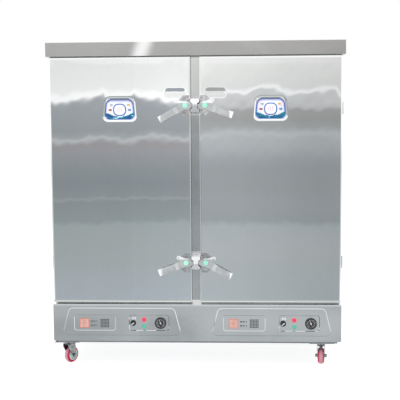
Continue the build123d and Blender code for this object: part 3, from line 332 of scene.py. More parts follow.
def painted_lid_highlight(tree, place):
    """A painted highlight: a bright streak that leans across the front edge of the cover."""
    axes = wire(tree, "ShaderNodeSeparateXYZ", {0: place}).outputs
    lean = maths(tree, "MULTIPLY_ADD", axes["Z"], -streak_lean, axes["X"])
    off = maths(tree, "SUBTRACT", lean, streak_middle - streak_lean * streak_height)
    streak = span(tree, maths(tree, "ABSOLUTE", off), 0.0, streak_half, 1.0, 0.0,
                  interpolation_type="SMOOTHERSTEP")
    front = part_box("top_cover")[0].y
    facing = span(tree, axes["Y"], front + front_starts, front + front_ends, 1.0, 0.0)
    return maths(tree, "MULTIPLY", streak, facing)


def bend_glint(tree, place):
    """A painted highlight: the bright line along the fascia's upper bend."""
    height = wire(tree, "ShaderNodeSeparateXYZ", {0: place}).outputs["Z"]
    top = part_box("base_fascia")[1].z
    return span(tree, height, top - glint_foot, top - glint_full, 0.0, glint_share)


shell_steel = stainless("shell_steel", (0.62, 0.63, 0.64), (0.67, 0.68, 0.69), 0.17, 0.24, upright_grain)
# The cover's grey carries a painted highlight: a bright leaning streak across its front edge.
cover_steel = stainless("cover_steel", (0.38, 0.375, 0.37), (0.47, 0.465, 0.46), 0.16, 0.24, level_grain,
                        smudge=3.5, patch=(painted_lid_highlight, (0.92, 0.92, 0.92)))
# The fascia's grey carries a painted highlight along its upper bend.
fascia_steel = stainless("fascia_steel", (0.70, 0.71, 0.715), (0.80, 0.805, 0.81), 0.06, 0.13, level_grain,
                         patch=(bend_glint, (1.0, 1.0, 1.0)))

dress(shell_steel, "left_side_panel", "right_side_panel", "back_panel", "rear_service_cover")
dress(cover_steel, "top_cover")
dress(fascia_steel, "base_fascia")


# Base frame. Welded box rails with a deck and pads over the casters, primed and sprayed grey,
# hidden behind the fascia and seen only from below.

def painted(name, dull, clean, smooth, rough, pebble, bead=0.0001):
    """Sprayed or moulded surface: a fine pebble, with patches that are a little duller."""
    material, tree, skin = new_finish(name)
    place = wire(tree, "ShaderNodeTexCoord").outputs["Object"]
    pores = noise(tree, place, pebble, 3.0)
    spread = span(tree, noise(tree, place, 14.0, 4.0, Roughness=0.6), 0.32, 0.68)
    tree.links.new(mixed(tree, spread, dull, clean), skin.inputs["Base Color"])
    tree.links.new(span(tree, pores, 0.3, 0.7, smooth, rough), skin.inputs["Roughness"])
    relief(tree, skin, pores, bead)
    return material


frame_paint = painted("frame_paint", paint(122, 125, 128), paint(140, 143, 146), 0.45, 0.6, 900.0)
dress(frame_paint, "base_frame")


# Front frame and chambers. The frame is one bent sheet with two door openings and a mullion;
# behind it two welded liners hold the steam, packed round with foam.

mullion_steel = stainless("mullion_steel", (0.52, 0.525, 0.52), (0.66, 0.665, 0.66), 0.07, 0.16,
                          (700.0, 1500.0, 9.0))
liner_steel = stainless("liner_steel", (0.60, 0.605, 0.61), (0.71, 0.715, 0.72), 0.2, 0.34, level_grain)
foam_block = painted("foam_block", paint(222, 205, 150), paint(236, 222, 172), 0.85, 0.98, 260.0, 0.0008)

dress(mullion_steel, "front_frame")
dress(liner_steel, "left_chamber", "right_chamber", "tray_racks")
dress(foam_block, "cabinet_insulation")


# Doors. Each skin is a thin polished pan folded from one sheet, with a shallow pressing for the
# badge. The pressing and the latch plates behind it pull the sheet, so its reflections wander.

badge_centre = (0.35375, 1.239)
badge_half, badge_half_height, badge_taper = 0.0725, 0.049, 0.009
pressing_margin, pressing_depth = 0.0095, 0.0012
pressing_flank, pressing_corner = 0.0080, 0.027
door_edge, edge_steps = 0.0025, 4
door_lip, lip_bend = 0.014, 0.001
calm_rim = 0.03
bow_depth, bow_reach = 0.0002, 0.09


def smooth_step(value, start, stop):
    """Eases from 0 at start to 1 at stop."""
    share = np.clip((value - start) / (stop - start), 0.0, 1.0)
    return share * share * (3 - 2 * share)


def badge_gap(x, z, grow):
    """How far a point on the front lies outside the badge's rounded outline, grown by grow."""
    height = z - badge_centre[1]
    half_height = badge_half_height + grow
    narrow = badge_taper * (height + half_height) / (2 * half_height)
    side = np.abs(np.abs(x) - badge_centre[0]) - (badge_half + grow - narrow)
    rise = np.abs(height) - half_height
    out_x = np.maximum(side + pressing_corner, 0.0)
    out_z = np.maximum(rise + pressing_corner, 0.0)
    inner = np.minimum(np.maximum(side + pressing_corner, rise + pressing_corner), 0.0)
    return np.hypot(out_x, out_z) + inner - pressing_corner


eye_level, eye_reach = 1.187, 3.99
edge_width, edge_angle = 0.055, {-1: 1.22, 1: 1.34}
streak_width, streak_angle = 0.05, {-1: -1.22, 1: -1.1}
wave_start = {-1: 1.0, 1: 2.3}

# Where the mirrored wall's edge and its streak run: distance from the middle, and height.
wall_edge = {
    -1: ((0.02, 1.262), (0.13, 1.264), (0.155, 1.276), (0.177, 1.283), (0.224, 1.281), (0.248, 1.2856),
         (0.266, 1.295), (0.285, 1.304), (0.300, 1.290), (0.412, 1.288), (0.430, 1.307), (0.446, 1.302),
         (0.46, 1.296), (0.484, 1.285), (0.522, 1.280), (0.55, 1.284), (0.5785, 1.2835), (0.607, 1.2674),
         (0.636, 1.2676), (0.69, 1.273)),
    1: ((0.02, 1.290), (0.06, 1.300), (0.12, 1.300), (0.146, 1.306), (0.165, 1.312), (0.193, 1.3086),
        (0.227, 1.3023), (0.262, 1.3122), (0.297, 1.3253), (0.340, 1.3378), (0.392, 1.3286),
        (0.419, 1.3109), (0.445, 1.3019), (0.506, 1.3014), (0.576, 1.3142), (0.628, 1.3202), (0.69, 1.323))}
wall_streak = {
    -1: ((0.02, 1.100), (0.127, 1.1045), (0.198, 1.118), (0.259, 1.1141), (0.307, 1.0966),
         (0.397, 1.1107), (0.482, 1.1065), (0.573, 1.098), (0.69, 1.089)),
    1: ((0.02, 1.109), (0.1, 1.118), (0.18, 1.132), (0.24, 1.1276), (0.32, 1.115), (0.45, 1.118),
        (0.59, 1.123), (0.69, 1.115))}


def bent_to(z, line, angle, width):
    """Depth of a sheet whose bend shows the room at that angle all along the line."""
    tilt = (math.radians(angle) - np.arctan2(line - eye_level, eye_reach)) / 2
    reach = np.clip((z - line) / width, -1.0, 1.0)
    return tilt * width * (reach - reach ** 3 / 3)


def sheet_pull(side, x, z):
    """How deep the sheet lies behind its true face, from the strains of forming and welding."""
    edge, streak = (np.interp(np.abs(x), *zip(*line)) for line in (wall_edge[side], wall_streak[side]))
    start = wave_start[side]
    waves = (0.00004 * np.sin(11.0 * x + 7.3 * z + start) * np.sin(5.1 * z - 3.7 * x + 2 * start)
             + 0.000025 * np.sin(23.0 * x - 9.0 * z + 3 * start) * np.cos(17.0 * z + 1.7 * start)
             + 0.000012 * np.sin(47.0 * x + 31.0 * z + start) * np.sin(39.0 * z - 11.0 * x)
             + 0.000009 * np.sin(96.0 * x - 22.0 * z + 2 * start) * np.sin(71.0 * z + 9.0 * x + start))
    return (bent_to(z, edge, edge_angle[side], edge_width)
            + bent_to(z, streak, streak_angle[side], streak_width) + waves)


dent_centre = {-1: (0.0925, 1.3155), 1: (0.0955, 1.3165)}
dent_depth, dent_half, dent_fade, dent_half_height = 0.00024, 0.038, 0.009, 0.0150
ridge_height, ridge_half, ridge_reach, ridge_width = 0.000028, 0.030, 0.022, 0.007
ridge_starts = (1.29, 1.33)


def latch_dent(x, z, side):
    """The long shallow dent over a latch, and the ridge round it, where a plate is welded behind."""
    middle, height = dent_centre[side]
    off = np.abs(np.abs(x) - middle)
    along = np.maximum(off - dent_half, 0.0) / dent_fade
    over = (z - height) / dent_half_height
    dent = dent_depth * np.exp(-along ** 2 - over ** 2)
    out = np.hypot(np.maximum(off - ridge_half, 0.0), np.maximum(z - height, 0.0))
    ridge = np.exp(-((out - ridge_reach) / ridge_width) ** 2) * smooth_step(z, *ridge_starts)
    return dent - ridge_height * ridge


def spaced(*spans):
    """Grid lines through spans of start, stop and step."""
    lines = []
    for start, stop, step in spans:
        count = max(1, round((stop - start) / step))
        lines += [start + (stop - start) * i / count for i in range(count)]
    return np.array(lines + [spans[-1][1]])


# The sheet's grid is finest over the badge and the latch: where its spans meet, and their steps.
badge_reach, latch_reach = 0.088, 0.15
plain_head, badge_foot, badge_head, latch_head = 1.05, 1.176, 1.302, 1.36
fine_step, latch_step, side_step = 0.0019, 0.005, 0.008
plain_step, lower_step, dent_step, upper_step = 0.012, 0.006, 0.003, 0.009
hair = 1e-7

door_steel = stainless("door_steel", (0.775, 0.785, 0.79), (0.81, 0.815, 0.82), 0.010, 0.022, upright_grain,
                       scratch=0.0000008, smudge=3.2)


def door_skin(side, name, body):
    """A door's sheet: a pressed and strained face, rounded edges, and sides that fold in behind."""
    low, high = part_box(name)
    inner, outer = (low.x, high.x) if side > 0 else (-high.x, -low.x)
    badge_in, badge_out = badge_centre[0] - badge_reach, badge_centre[0] + badge_reach
    columns = spaced((inner + door_edge, latch_reach, latch_step), (latch_reach, badge_in, side_step),
                     (badge_in, badge_out, fine_step), (badge_out, outer - door_edge, side_step))
    if side < 0:
        columns = -columns[::-1]
    rows = spaced((low.z + door_edge, plain_head, plain_step), (plain_head, badge_foot, lower_step),
                  (badge_foot, badge_head, fine_step), (badge_head, latch_head, dent_step),
                  (latch_head, high.z - door_edge, upper_step))
    x, z = np.meshgrid(columns, rows)
    pressed = pressing_depth * (1 - smooth_step(badge_gap(x, z, pressing_margin), -pressing_flank, 0.0))
    rim = np.minimum.reduce([x - columns[0], columns[-1] - x, z - rows[0], rows[-1] - z])
    strained = smooth_step(rim, 0.0, calm_rim) * (sheet_pull(side, x, z) + latch_dent(x, z, side))
    depth = pressed + strained + bow_depth * smooth_step(rim, 0.0, bow_reach)
    points = np.stack([x, low.y + depth, z], axis=-1).reshape(-1, 3)

    wide, tall = len(columns), len(rows)
    corners = [tuple(p) for p in points]
    faces = [(r * wide + c, r * wide + c + 1, (r + 1) * wide + c + 1, (r + 1) * wide + c)
             for r in range(tall - 1) for c in range(wide - 1)]
    loop = (list(range(wide)) + [r * wide + wide - 1 for r in range(1, tall)]
            + [(tall - 1) * wide + c for c in range(wide - 2, -1, -1)]
            + [r * wide for r in range(tall - 2, 0, -1)])
    turns = [math.radians(90.0 / edge_steps * k) for k in range(1, edge_steps + 1)]
    profile = [(door_edge * (1 - math.sin(a)), door_edge * (1 - math.cos(a))) for a in turns]
    back = high.y - low.y
    profile += [(0.0, back - lip_bend), (lip_bend, back), (door_lip, back)]
    last = loop
    for inset, behind in profile:
        ring = points[loop]
        ring[:, 1] = low.y + behind
        for axis, lines, edges in ((0, columns, (low.x, high.x)), (2, rows, (low.z, high.z))):
            ring[points[loop, axis] <= lines[0] + hair, axis] = edges[0] + inset
            ring[points[loop, axis] >= lines[-1] - hair, axis] = edges[1] - inset
        ids = list(range(len(corners), len(corners) + len(loop)))
        corners += [tuple(p) for p in ring]
        for i in range(len(loop)):
            j = (i + 1) % len(loop)
            faces.append((last[j], last[i], ids[i], ids[j]))
        last = ids
    piece = shape_piece(name + "_sheet", corners, faces, [door_steel], crease=38)
    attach(piece, body)
    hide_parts(name)


door_skin(-1, "left_door_skin", "left_door")
door_skin(1, "right_door_skin", "right_door")

gasket_rubber = painted("gasket_rubber", paint(48, 48, 50), paint(66, 66, 68), 0.55, 0.75, 700.0)
dress(liner_steel, "left_door_inner_panel", "right_door_inner_panel")
dress(gasket_rubber, "left_door_gasket", "right_door_gasket")


# Badges. A pressed plate glued into each door's pressing and printed: white field, blue rim,
# a blue loop round three steam curls, small coloured marks and a teal wave along the foot.

badge_white = painted("badge_white", paint(226, 229, 242), paint(244, 245, 252), 0.25, 0.35, 500.0, 0.00001)
dress(badge_white, "left_door_badge", "right_door_badge")


def ink(name, *stops):
    """Screen ink whose colour changes up the badge, from its foot to its head."""
    material, tree, skin = new_finish(name, Roughness=0.34)
    place = wire(tree, "ShaderNodeTexCoord").outputs["Object"]
    height = wire(tree, "ShaderNodeSeparateXYZ", {0: place}).outputs["Z"]
    shift = span(tree, noise(tree, place, 900.0, 2.0), 0.0, 1.0, -0.003, 0.003)
    share = span(tree, maths(tree, "ADD", height, shift), badge_centre[1] - badge_half_height,
                 badge_centre[1] + badge_half_height)
    places = [(i / (len(stops) - 1), paint(*colour)) for i, colour in enumerate(stops)]
    tree.links.new(shades(tree, share, places), skin.inputs["Base Color"])
    return material


def wave_ink(name):
    """Teal and blue ink that runs in streaks, with pale cyan crests."""
    material, tree, skin = new_finish(name, Roughness=0.34)
    place = wire(tree, "ShaderNodeTexCoord").outputs["Object"]
    drawn = wire(tree, "ShaderNodeMapping", {"Vector": place, "Scale": (26.0, 1.0, 58.0)}).outputs[0]
    streaks = noise(tree, drawn, 1.0, 1.0, Distortion=1.2)
    tree.links.new(shades(tree, streaks, (
        (0.30, paint(8, 70, 132)), (0.44, paint(10, 92, 128)), (0.52, paint(24, 126, 132)),
        (0.60, paint(26, 98, 176)), (0.68, paint(126, 200, 226)), (0.76, paint(226, 244, 248)))),
        skin.inputs["Base Color"])
    return material


def flat_print(name, body, shapes):
    """Printed shapes, each a finish, a depth, an outline and, for a band, the outline of its hole."""
    corners, faces, picks, finishes = [], [], [], []
    for finish, depth, outline, hole in shapes:
        if finish not in finishes:
            finishes.append(finish)
        first, count = len(corners), len(outline)
        corners += [(x, depth, z) for x, z in outline]
        if hole:
            corners += [(x, depth, z) for x, z in hole]
            pairs = [(first + i, first + (i + 1) % count) for i in range(count)]
            faces += [(here, after, after + count, here + count) for here, after in pairs]
        else:
            faces.append(tuple(range(first, first + count)))
        picks += [finishes.index(finish)] * (len(faces) - len(picks))
    piece = shape_piece(name, corners, faces, finishes)
    piece.data.polygons.foreach_set("material_index", picks)
    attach(piece, body)


def round_spot(x, z, radius, tall=None, count=28):
    """A round or oval outline."""
    turns = [2 * math.pi * i / count for i in range(count)]
    return [(x + radius * math.cos(a), z + (tall or radius) * math.sin(a)) for a in turns]


def bar(x, z, length, thick, turn=0.0):
    """A straight mark about a centre."""
    c, s = math.cos(math.radians(turn)), math.sin(math.radians(turn))
    half, side = length / 2, thick / 2
    return [(x + c * a - s * b, z + s * a + c * b)
            for a, b in ((-half, -side), (half, -side), (half, side), (-half, side))]


def rounded(x, z, half, tall, corner, taper=0.0, steps=6):
    """A rounded box outline, narrower at its head by taper on each side."""
    points = []
    for quarter, (sx, sz) in enumerate(((1, 1), (-1, 1), (-1, -1), (1, -1))):
        for k in range(steps + 1):
            a = math.radians(90 * (quarter + k / steps))
            px = sx * (half - corner) + corner * math.cos(a)
            pz = sz * (tall - corner) + corner * math.sin(a)
            points.append((x + px - sx * taper * (pz + tall) / (2 * tall), z + pz))
    return points


print_corner, ink_coat = 0.026, 0.00002
# How far the rim's bands are drawn in from the badge's edge, and how much lower their heads are.
rim_out, rim_in, pale_in = (0.0002, 0.0), (0.0046, 0.004), (0.0072, 0.006)
wave_half, wave_level, wave_dip = 0.067, -0.031, 0.012
wave_ripple, wave_turn, wave_steps = 0.003, 0.62, 12
foot_corners = ((0.066, -0.030), (0.053, -0.0445), (-0.053, -0.0445), (-0.066, -0.030))
loop_level, loop_out, loop_in = -0.003, (0.0305, 0.0285, 0.024), (0.0255, 0.0235, 0.019)
disc_radius = 0.0325
curl_pitch, curl_foot, curl_step, curl_points = 0.009, -0.014, 0.0024, 10
curl_half, curl_swing, curl_turn = 0.0011, 0.0022, 0.9
spot_off, spot_level, spot_radius = 0.047, -0.004, 0.0030

rim_ink = ink("rim_ink", (18, 84, 160), (24, 92, 172), (50, 96, 178), (84, 100, 176), (92, 100, 158),
              (96, 108, 128))
pale_ink = ink("pale_ink", (96, 170, 220), (140, 190, 236), (168, 194, 240), (188, 196, 240),
               (182, 184, 232))
loop_ink = ink("loop_ink", (26, 78, 160), (40, 92, 172), (54, 104, 184))
curl_ink = ink("curl_ink", (196, 140, 150), (206, 160, 168))
gold_ink = ink("gold_ink", (206, 150, 60), (226, 176, 96))
brown_ink = ink("brown_ink", (158, 62, 48), (190, 92, 74))
slate_ink = ink("slate_ink", (84, 92, 112), (116, 124, 146))
foot_ink = wave_ink("foot_ink")

# The small marks beside the loop: ink, shape, place from the badge's middle, and sizes.
small_marks = ((gold_ink, round_spot, 0.041, 0.020, (0.0075, 0.0045)),
               (gold_ink, bar, 0.0505, 0.013, (0.006, 0.0022, -50.0)),
               (brown_ink, rounded, -0.045, -0.004, (0.0075, 0.0042, 0.002)),
               (slate_ink, bar, -0.040, 0.021, (0.015, 0.0026, 12.0)),
               (slate_ink, bar, -0.038, 0.0155, (0.011, 0.002, 12.0)),
               (loop_ink, rounded, spot_off, spot_level, (0.0062, 0.0050, 0.003)))


def badge_outline(middle, inset, drop):
    """The badge's own outline, drawn in all round and lowered at its head."""
    return rounded(middle, badge_centre[1] - drop / 2, badge_half - inset,
                   badge_half_height - inset - drop / 2, print_corner - inset, badge_taper)


for side, door in ((-1, "left_door"), (1, "right_door")):
    middle, height = side * badge_centre[0], badge_centre[1]
    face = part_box(door + "_badge")[0].y
    rim_coat, wave_coat, field_coat, mark_coat, top_coat = (face - ink_coat * n for n in (2, 3, 4, 5, 6))
    crest = []
    for i in range(2 * wave_steps + 1):
        share = (i - wave_steps) / wave_steps
        swell = wave_dip * share ** 2 + wave_ripple * math.sin(wave_turn * i)
        crest.append((middle + wave_half * share, height + wave_level + swell))
    foot = [(middle + x, height + z) for x, z in foot_corners]
    shapes = [(rim_ink, rim_coat, badge_outline(middle, *rim_out), badge_outline(middle, *rim_in)),
              (pale_ink, rim_coat, badge_outline(middle, *rim_in), badge_outline(middle, *pale_in)),
              (foot_ink, wave_coat, crest + foot, None),
              (badge_white, field_coat, round_spot(middle, height + loop_level, disc_radius), None),
              (loop_ink, mark_coat, rounded(middle, height + loop_level, *loop_out),
               rounded(middle, height + loop_level, *loop_in))]
    for k in (-1, 0, 1):
        curl = [(middle + curl_pitch * k + curl_swing * math.sin(curl_turn * i),
                 height + curl_foot + curl_step * i) for i in range(curl_points)]
        band = [(x - curl_half, z) for x, z in curl] + [(x + curl_half, z) for x, z in curl[::-1]]
        shapes.append((curl_ink, mark_coat, band, None))
    shapes += [(finish, mark_coat, draw(middle + x, height + z, *sizes), None)
               for finish, draw, x, z, sizes in small_marks]
    spot = round_spot(middle + spot_off, height + spot_level, spot_radius)
    shapes.append((pale_ink, top_coat, spot, None))
    flat_print(door + "_badge_print", door, shapes)


# Latches. Each door has two cranked levers on stepped studs: bent stainless strip with a wing
# and a turned-out tip, over a base plate with two screws, held by a mint plastic cap. A bent
# keeper for each pair is screwed to the mullion.

keeper_half, foot_half, foot_edge = 0.041, 0.020, 0.003
tip_starts = (0.158, 0.164)
wing_ends = (0.015, 0.018)


def shaded_foot(tree, place):
    """Painted shade on the lower half of each keeper, where its bend faces down."""
    height = wire(tree, "ShaderNodeSeparateXYZ", {0: place}).outputs["Z"]
    low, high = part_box("latch_keepers")
    halves = []
    for middle in (high.z - keeper_half, low.z + keeper_half):
        away = maths(tree, "ABSOLUTE", maths(tree, "SUBTRACT", height, middle - foot_half))
        halves.append(span(tree, away, foot_half, foot_half + foot_edge, 1.0, 0.0))
    return maths(tree, "MAXIMUM", *halves)


def rosy_patches(tree, place):
    """Rosy patches scattered over the plate by noise."""
    return span(tree, noise(tree, place, 38.0, 2.0, Distortion=0.8), 0.52, 0.66, 0.0, 0.75)


def painted_end_highlights(tree, place):
    """Painted highlights on the wings and turned-out tips of the levers, brighter than their arms."""
    axes = wire(tree, "ShaderNodeSeparateXYZ", {0: place}).outputs
    share = span(tree, maths(tree, "ABSOLUTE", axes["X"]), *tip_starts)
    for row in ("upper", "lower"):
        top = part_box(f"{row}_left_latch_lever")[1].z
        away = maths(tree, "ABSOLUTE", maths(tree, "SUBTRACT", axes["Z"], top))
        share = maths(tree, "MAXIMUM", share, span(tree, away, *wing_ends, 1.0, 0.0))
    return share


# The levers' wings and tips carry painted highlights.
lever_steel = stainless("lever_steel", (0.46, 0.47, 0.475), (0.58, 0.585, 0.59), 0.26, 0.38,
                        (1500.0, 400.0, 60.0), scratch=0.000006, smudge=22.0, metal=0.5,
                        patch=(painted_end_highlights, (0.93, 0.93, 0.94)))
plate_steel = stainless("plate_steel", (0.40, 0.41, 0.42), (0.86, 0.865, 0.88), 0.08, 0.2,
                        (160.0, 160.0, 160.0), scratch=0.0004, smudge=55.0,
                        patch=(rosy_patches, (0.50, 0.40, 0.41)))
# The keepers' lower halves are painted darker: painted shade.
keeper_steel = stainless("keeper_steel", (0.80, 0.81, 0.82), (0.92, 0.92, 0.93), 0.2, 0.34, level_grain,
                         smudge=16.0, metal=0.6, patch=(shaded_foot, (0.56, 0.565, 0.58)))
screw_zinc = stainless("screw_zinc", (0.62, 0.62, 0.61), (0.78, 0.77, 0.75), 0.2, 0.34,
                       (900.0, 900.0, 900.0), smudge=60.0)
mint_plastic = painted("mint_plastic", paint(150, 226, 198), paint(178, 240, 216), 0.22, 0.34, 420.0,
                       0.00003)

for side in ("left", "right"):
    dress(lever_steel, f"upper_{side}_latch_lever", f"lower_{side}_latch_lever")
    dress(plate_steel, f"{side}_latch_plates")
    dress(mint_plastic, f"{side}_latch_studs")
dress(keeper_steel, "latch_keepers")
dress(screw_zinc, "cabinet_screws")


# Hinges. Two knuckle hinges a side, folded from thick strip round a steel pin; one leaf is
# screwed to the cabinet's edge and the other to the door's.

hinge_steel = stainless("hinge_steel", (0.62, 0.62, 0.63), (0.78, 0.775, 0.785), 0.14, 0.24,
                        (900.0, 900.0, 900.0), smudge=20.0)
dress(hinge_steel, "cabinet_hinge_leaves", "left_door_hinge_leaves", "right_door_hinge_leaves")


# Controls. Clipped into each control panel of the fascia: a black rotary switch, a red lamp over
# a green one, and a capillary temperature gauge under a clear lens. The labels beside them are
# printed on film: an orange frame, plain bars for words, and a field of small grey squares.

black_plastic = painted("black_plastic", paint(34, 35, 37), paint(48, 49, 52), 0.3, 0.45, 800.0)
pointer_white = painted("pointer_white", paint(226, 228, 230), paint(240, 242, 244), 0.4, 0.5, 800.0)
lens_clear = new_finish("lens_clear", Base_Color=paint(255, 255, 255), Roughness=0.03,
                        Transmission_Weight=1.0, IOR=1.3, Alpha=0.35)[0]


def lamp_plastic(name, deep, bright):
    """Translucent lamp cap: ribbed inside, brighter where the light gathers."""
    material, tree, skin = new_finish(name, Roughness=0.16, Coat_Weight=0.5, Emission_Strength=0.35)
    place = wire(tree, "ShaderNodeTexCoord").outputs["Object"]
    facets = wire(tree, "ShaderNodeTexVoronoi", {"Vector": place, "Scale": 420.0}).outputs["Distance"]
    tint = mixed(tree, facets, bright, deep)
    tree.links.new(tint, skin.inputs["Base Color"])
    tree.links.new(tint, skin.inputs["Emission Color"])
    relief(tree, skin, facets, 0.0003)
    return material


dress(black_plastic, "control_bezels", "left_switch_knob", "right_switch_knob")
dress(pointer_white, "left_gauge_pointer", "right_gauge_pointer")
dress(lens_clear, "gauge_lenses")
dress(lamp_plastic("red_lamp_plastic", paint(196, 22, 48), paint(246, 62, 92)), "red_lamps")
dress(lamp_plastic("green_lamp_plastic", paint(40, 132, 108), paint(96, 196, 164)), "green_lamps")

orange_ink = painted("orange_ink", paint(214, 96, 78), paint(228, 118, 98), 0.4, 0.5, 700.0, 0.00001)
orange_wash = painted("orange_wash", paint(196, 158, 148), paint(210, 176, 166), 0.4, 0.5, 700.0, 0.00001)
grey_ink = painted("grey_ink", paint(50, 52, 56), paint(72, 74, 78), 0.4, 0.5, 700.0, 0.00001)
# This white serves the dial's ticks and the knob's mark, which are print, and the small card over each
# switch, which is a painted highlight.
white_print_and_highlight = painted("white_print_and_highlight", paint(214, 216, 216), paint(232, 234, 234), 0.3, 0.4, 700.0, 0.00001)

field_middle = 0.359
panel_front, dial_front = -0.319477, -0.3218
film, wash_film, boss_film = 0.00008, 0.00005, 0.0001
label_off, label_level = -0.181, 0.2155
label_half, label_wash, label_band = 0.0225, 0.0222, 0.003
label_corner, window_corner = 0.005, 0.003
eye_out, eye_in = (0.009, 0.006), (0.006, 0.003)
line_rise, line_length, line_thick = 0.0125, 0.016, 0.0022
words_off, word_pitch, word_rise = 0.036, 0.0125, 0.010
word_lengths, word_thick = (0.011, 0.009, 0.0045), 0.0042
small_share, small_drop, small_thick = 0.7, 0.0052, 0.0018
squares_off, square_pitch, square, squares_wide = 0.0985, 0.0072, 0.0054, 6
controls_level, switch_off, gauge_off = 0.217, 0.055, 0.187
highlight_card_off, highlight_card_rise, highlight_card_bar = 0.004, 0.0225, 0.010
highlight_card_shape = (0.0095, 0.0052, 0.002)
scale_rim, scale_line, scale_boss = 0.0208, 0.0009, 0.0030
scale_marks, scale_reach, scale_start, scale_turn = 11, 0.0160, 225.0, 27.0
long_mark, short_mark, mark_thick = 0.0056, 0.0036, 0.0017
knob_mark = (0.017, 0.0040, 38.0)

for side, name in ((-1, "left"), (1, "right")):
    label, switch, gauge = (side * field_middle + off for off in (label_off, switch_off, gauge_off))
    depth = panel_front - film
    window = label_half - label_band
    shapes = [(orange_wash, panel_front - wash_film,
               rounded(label, label_level, label_wash, label_wash, label_corner), None),
              (orange_ink, depth, rounded(label, label_level, label_half, label_half, label_corner),
               rounded(label, label_level, window, window, window_corner)),
              (orange_ink, depth, round_spot(label, label_level, *eye_out),
               round_spot(label, label_level, *eye_in)),
              (orange_ink, depth, bar(label, label_level + line_rise, line_length, line_thick), None),
              (orange_ink, depth, bar(label, label_level - line_rise, line_length, line_thick), None)]
    for row in (label_level + word_rise, label_level - word_rise):
        for k, length in enumerate(word_lengths):
            word = label + words_off + word_pitch * k
            small = bar(word, row - small_drop, length * small_share, small_thick)
            shapes += [(grey_ink, depth, bar(word, row, length, word_thick), None),
                       (grey_ink, depth, small, None)]
    steps = [square_pitch * (k - (squares_wide - 1) / 2) for k in range(squares_wide)]
    shapes += [(grey_ink, depth, bar(label + squares_off + along, label_level + up, square, square), None)
               for along in steps for up in steps]
    # The small white card with a grey bar over each switch is a painted highlight, put where the panel
    # shows a bright glare.
    highlight_card, highlight_card_level = switch + highlight_card_off, controls_level + highlight_card_rise
    shapes += [(white_print_and_highlight, depth, rounded(highlight_card, highlight_card_level, *highlight_card_shape), None),
               (grey_ink, depth - film / 2, bar(highlight_card, highlight_card_level, highlight_card_bar, small_thick), None)]
    flat_print(f"{name}_panel_print", "cabinet", shapes)

    ticks = [(white_print_and_highlight, dial_front, round_spot(gauge, controls_level, scale_rim),
              round_spot(gauge, controls_level, scale_rim - scale_line)),
             (white_print_and_highlight, dial_front - boss_film, round_spot(gauge, controls_level, scale_boss), None)]
    for k in range(scale_marks):
        turn = scale_start - scale_turn * k
        x = gauge + scale_reach * math.cos(math.radians(turn))
        z = controls_level + scale_reach * math.sin(math.radians(turn))
        length = short_mark if k % 2 else long_mark
        ticks.append((white_print_and_highlight, dial_front, bar(x, z, length, mark_thick, turn), None))
    flat_print(f"{name}_dial_print", "cabinet", ticks)

    knob = f"{name}_switch_knob"
    knob_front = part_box(knob)[0].y - film
    flat_print(f"{name}_knob_mark", knob,
               [(white_print_and_highlight, knob_front, bar(switch, controls_level, *knob_mark), None)])


# Casters. Bought-in swivel casters bolted under the base frame: zinc plated plate and fork on a
# ball race, a pale hub on a bolt, a crimson tyre cast onto it, and a cup pressed over the kingpin's
# foot, black as painted shade for the dark inside of the fork under its crown.

zinc_plate = stainless("zinc_plate", (0.14, 0.145, 0.15), (0.44, 0.45, 0.46), 0.16, 0.3,
                       (300.0, 300.0, 300.0), scratch=0.0002, smudge=60.0)
hub_plastic = painted("hub_plastic", paint(206, 228, 218), paint(230, 242, 236), 0.2, 0.35, 500.0)
# The cup's black is painted shade: it stands for the dark inside of the fork under the crown.
shade_black = painted("shade_black", paint(22, 22, 24), paint(34, 34, 37), 0.4, 0.55, 700.0)

tread_starts = (0.0030, 0.0014)


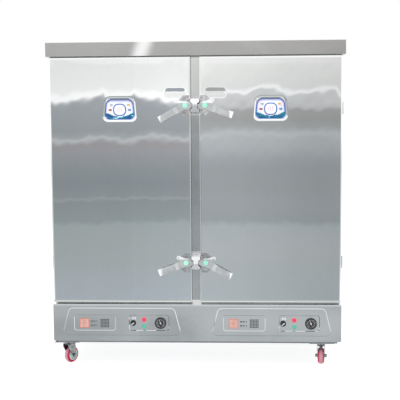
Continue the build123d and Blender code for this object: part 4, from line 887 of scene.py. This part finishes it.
def tyre_rubber(node):
    """Glossy crimson rubber, turning a dusty pink round the tread."""
    points = np.array([v.co for v in frame["nodes"][node].data.vertices])
    low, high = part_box(node)
    middle, radius = (low + high) / 2, (high.z - low.z) / 2
    axle = np.linalg.eigh(np.cov((points - points.mean(0)).T))[1][:, 0]
    material, tree, skin = new_finish(node + "_rubber")
    place = wire(tree, "ShaderNodeTexCoord").outputs["Object"]
    offset = wire(tree, "ShaderNodeVectorMath", {0: place, 1: middle}, operation="SUBTRACT").outputs[0]
    lever = wire(tree, "ShaderNodeVectorMath", {0: offset, 1: axle}, operation="CROSS_PRODUCT").outputs[0]
    reach = wire(tree, "ShaderNodeVectorMath", {0: lever}, operation="LENGTH").outputs["Value"]
    dust = noise(tree, place, 160.0, 3.0)
    tread = span(tree, reach, radius - tread_starts[0], radius - tread_starts[1])
    pale_tread = maths(tree, "MULTIPLY", tread, span(tree, dust, 0.3, 0.7, 0.55, 0.95))
    cast = mixed(tree, dust, paint(140, 0, 46), paint(206, 4, 80))
    tree.links.new(mixed(tree, pale_tread, cast, paint(208, 164, 174)), skin.inputs["Base Color"])
    tree.links.new(span(tree, pale_tread, 0.0, 1.0, 0.10, 0.5), skin.inputs["Roughness"])
    relief(tree, skin, dust, 0.00005)
    return material


crown_under = 0.098
cup_profile = ((0.0008, -0.0118), (0.0060, -0.0112), (0.0120, -0.0088), (0.0155, -0.0055),
               (0.0155, -0.0002), (0.0125, -0.0002), (0.0115, -0.0050), (0.0008, -0.0075))


def shade_cup(corner, steps=28):
    """The cup under a fork's crown, turned about the swivel's axis."""
    swivel = next(j for j in frame["joints"] if j["name"] == f"{corner}_caster_swivel")
    x, y = swivel["pos_m"][:2]
    corners, faces, count = [], [], len(cup_profile)
    for i in range(steps):
        c, s = math.cos(2 * math.pi * i / steps), math.sin(2 * math.pi * i / steps)
        corners += [(x + r * c, y + r * s, crown_under + z) for r, z in cup_profile]
        n = (i + 1) % steps
        faces += [(i * count + k, n * count + k, n * count + (k + 1) % count, i * count + (k + 1) % count)
                  for k in range(count)]
    piece = shape_piece(f"{corner}_shade_cup", corners, faces, [shade_black], crease=40)
    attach(piece, f"{corner}_caster")


dress(zinc_plate, "caster_plates")
for corner in ("front_left", "front_right", "rear_left", "rear_right"):
    dress(zinc_plate, f"{corner}_fork")
    dress(hub_plastic, f"{corner}_hub")
    dress(tyre_rubber(f"{corner}_tyre"), f"{corner}_tyre")
    shade_cup(corner)


# Back and works. Float box with its water inlet, drains with caps, steam vents, heaters,
# contactors and the cable gland, screwed or welded to the back panel and the deck.

heater_tube = stainless("heater_tube", (0.44, 0.42, 0.40), (0.58, 0.55, 0.51), 0.3, 0.45,
                        (500.0, 500.0, 500.0), smudge=24.0)
dress(shell_steel, "float_box", "drain_pipes", "steam_vents")
dress(heater_tube, "heating_elements")
dress(black_plastic, "contactors", "cable_gland")
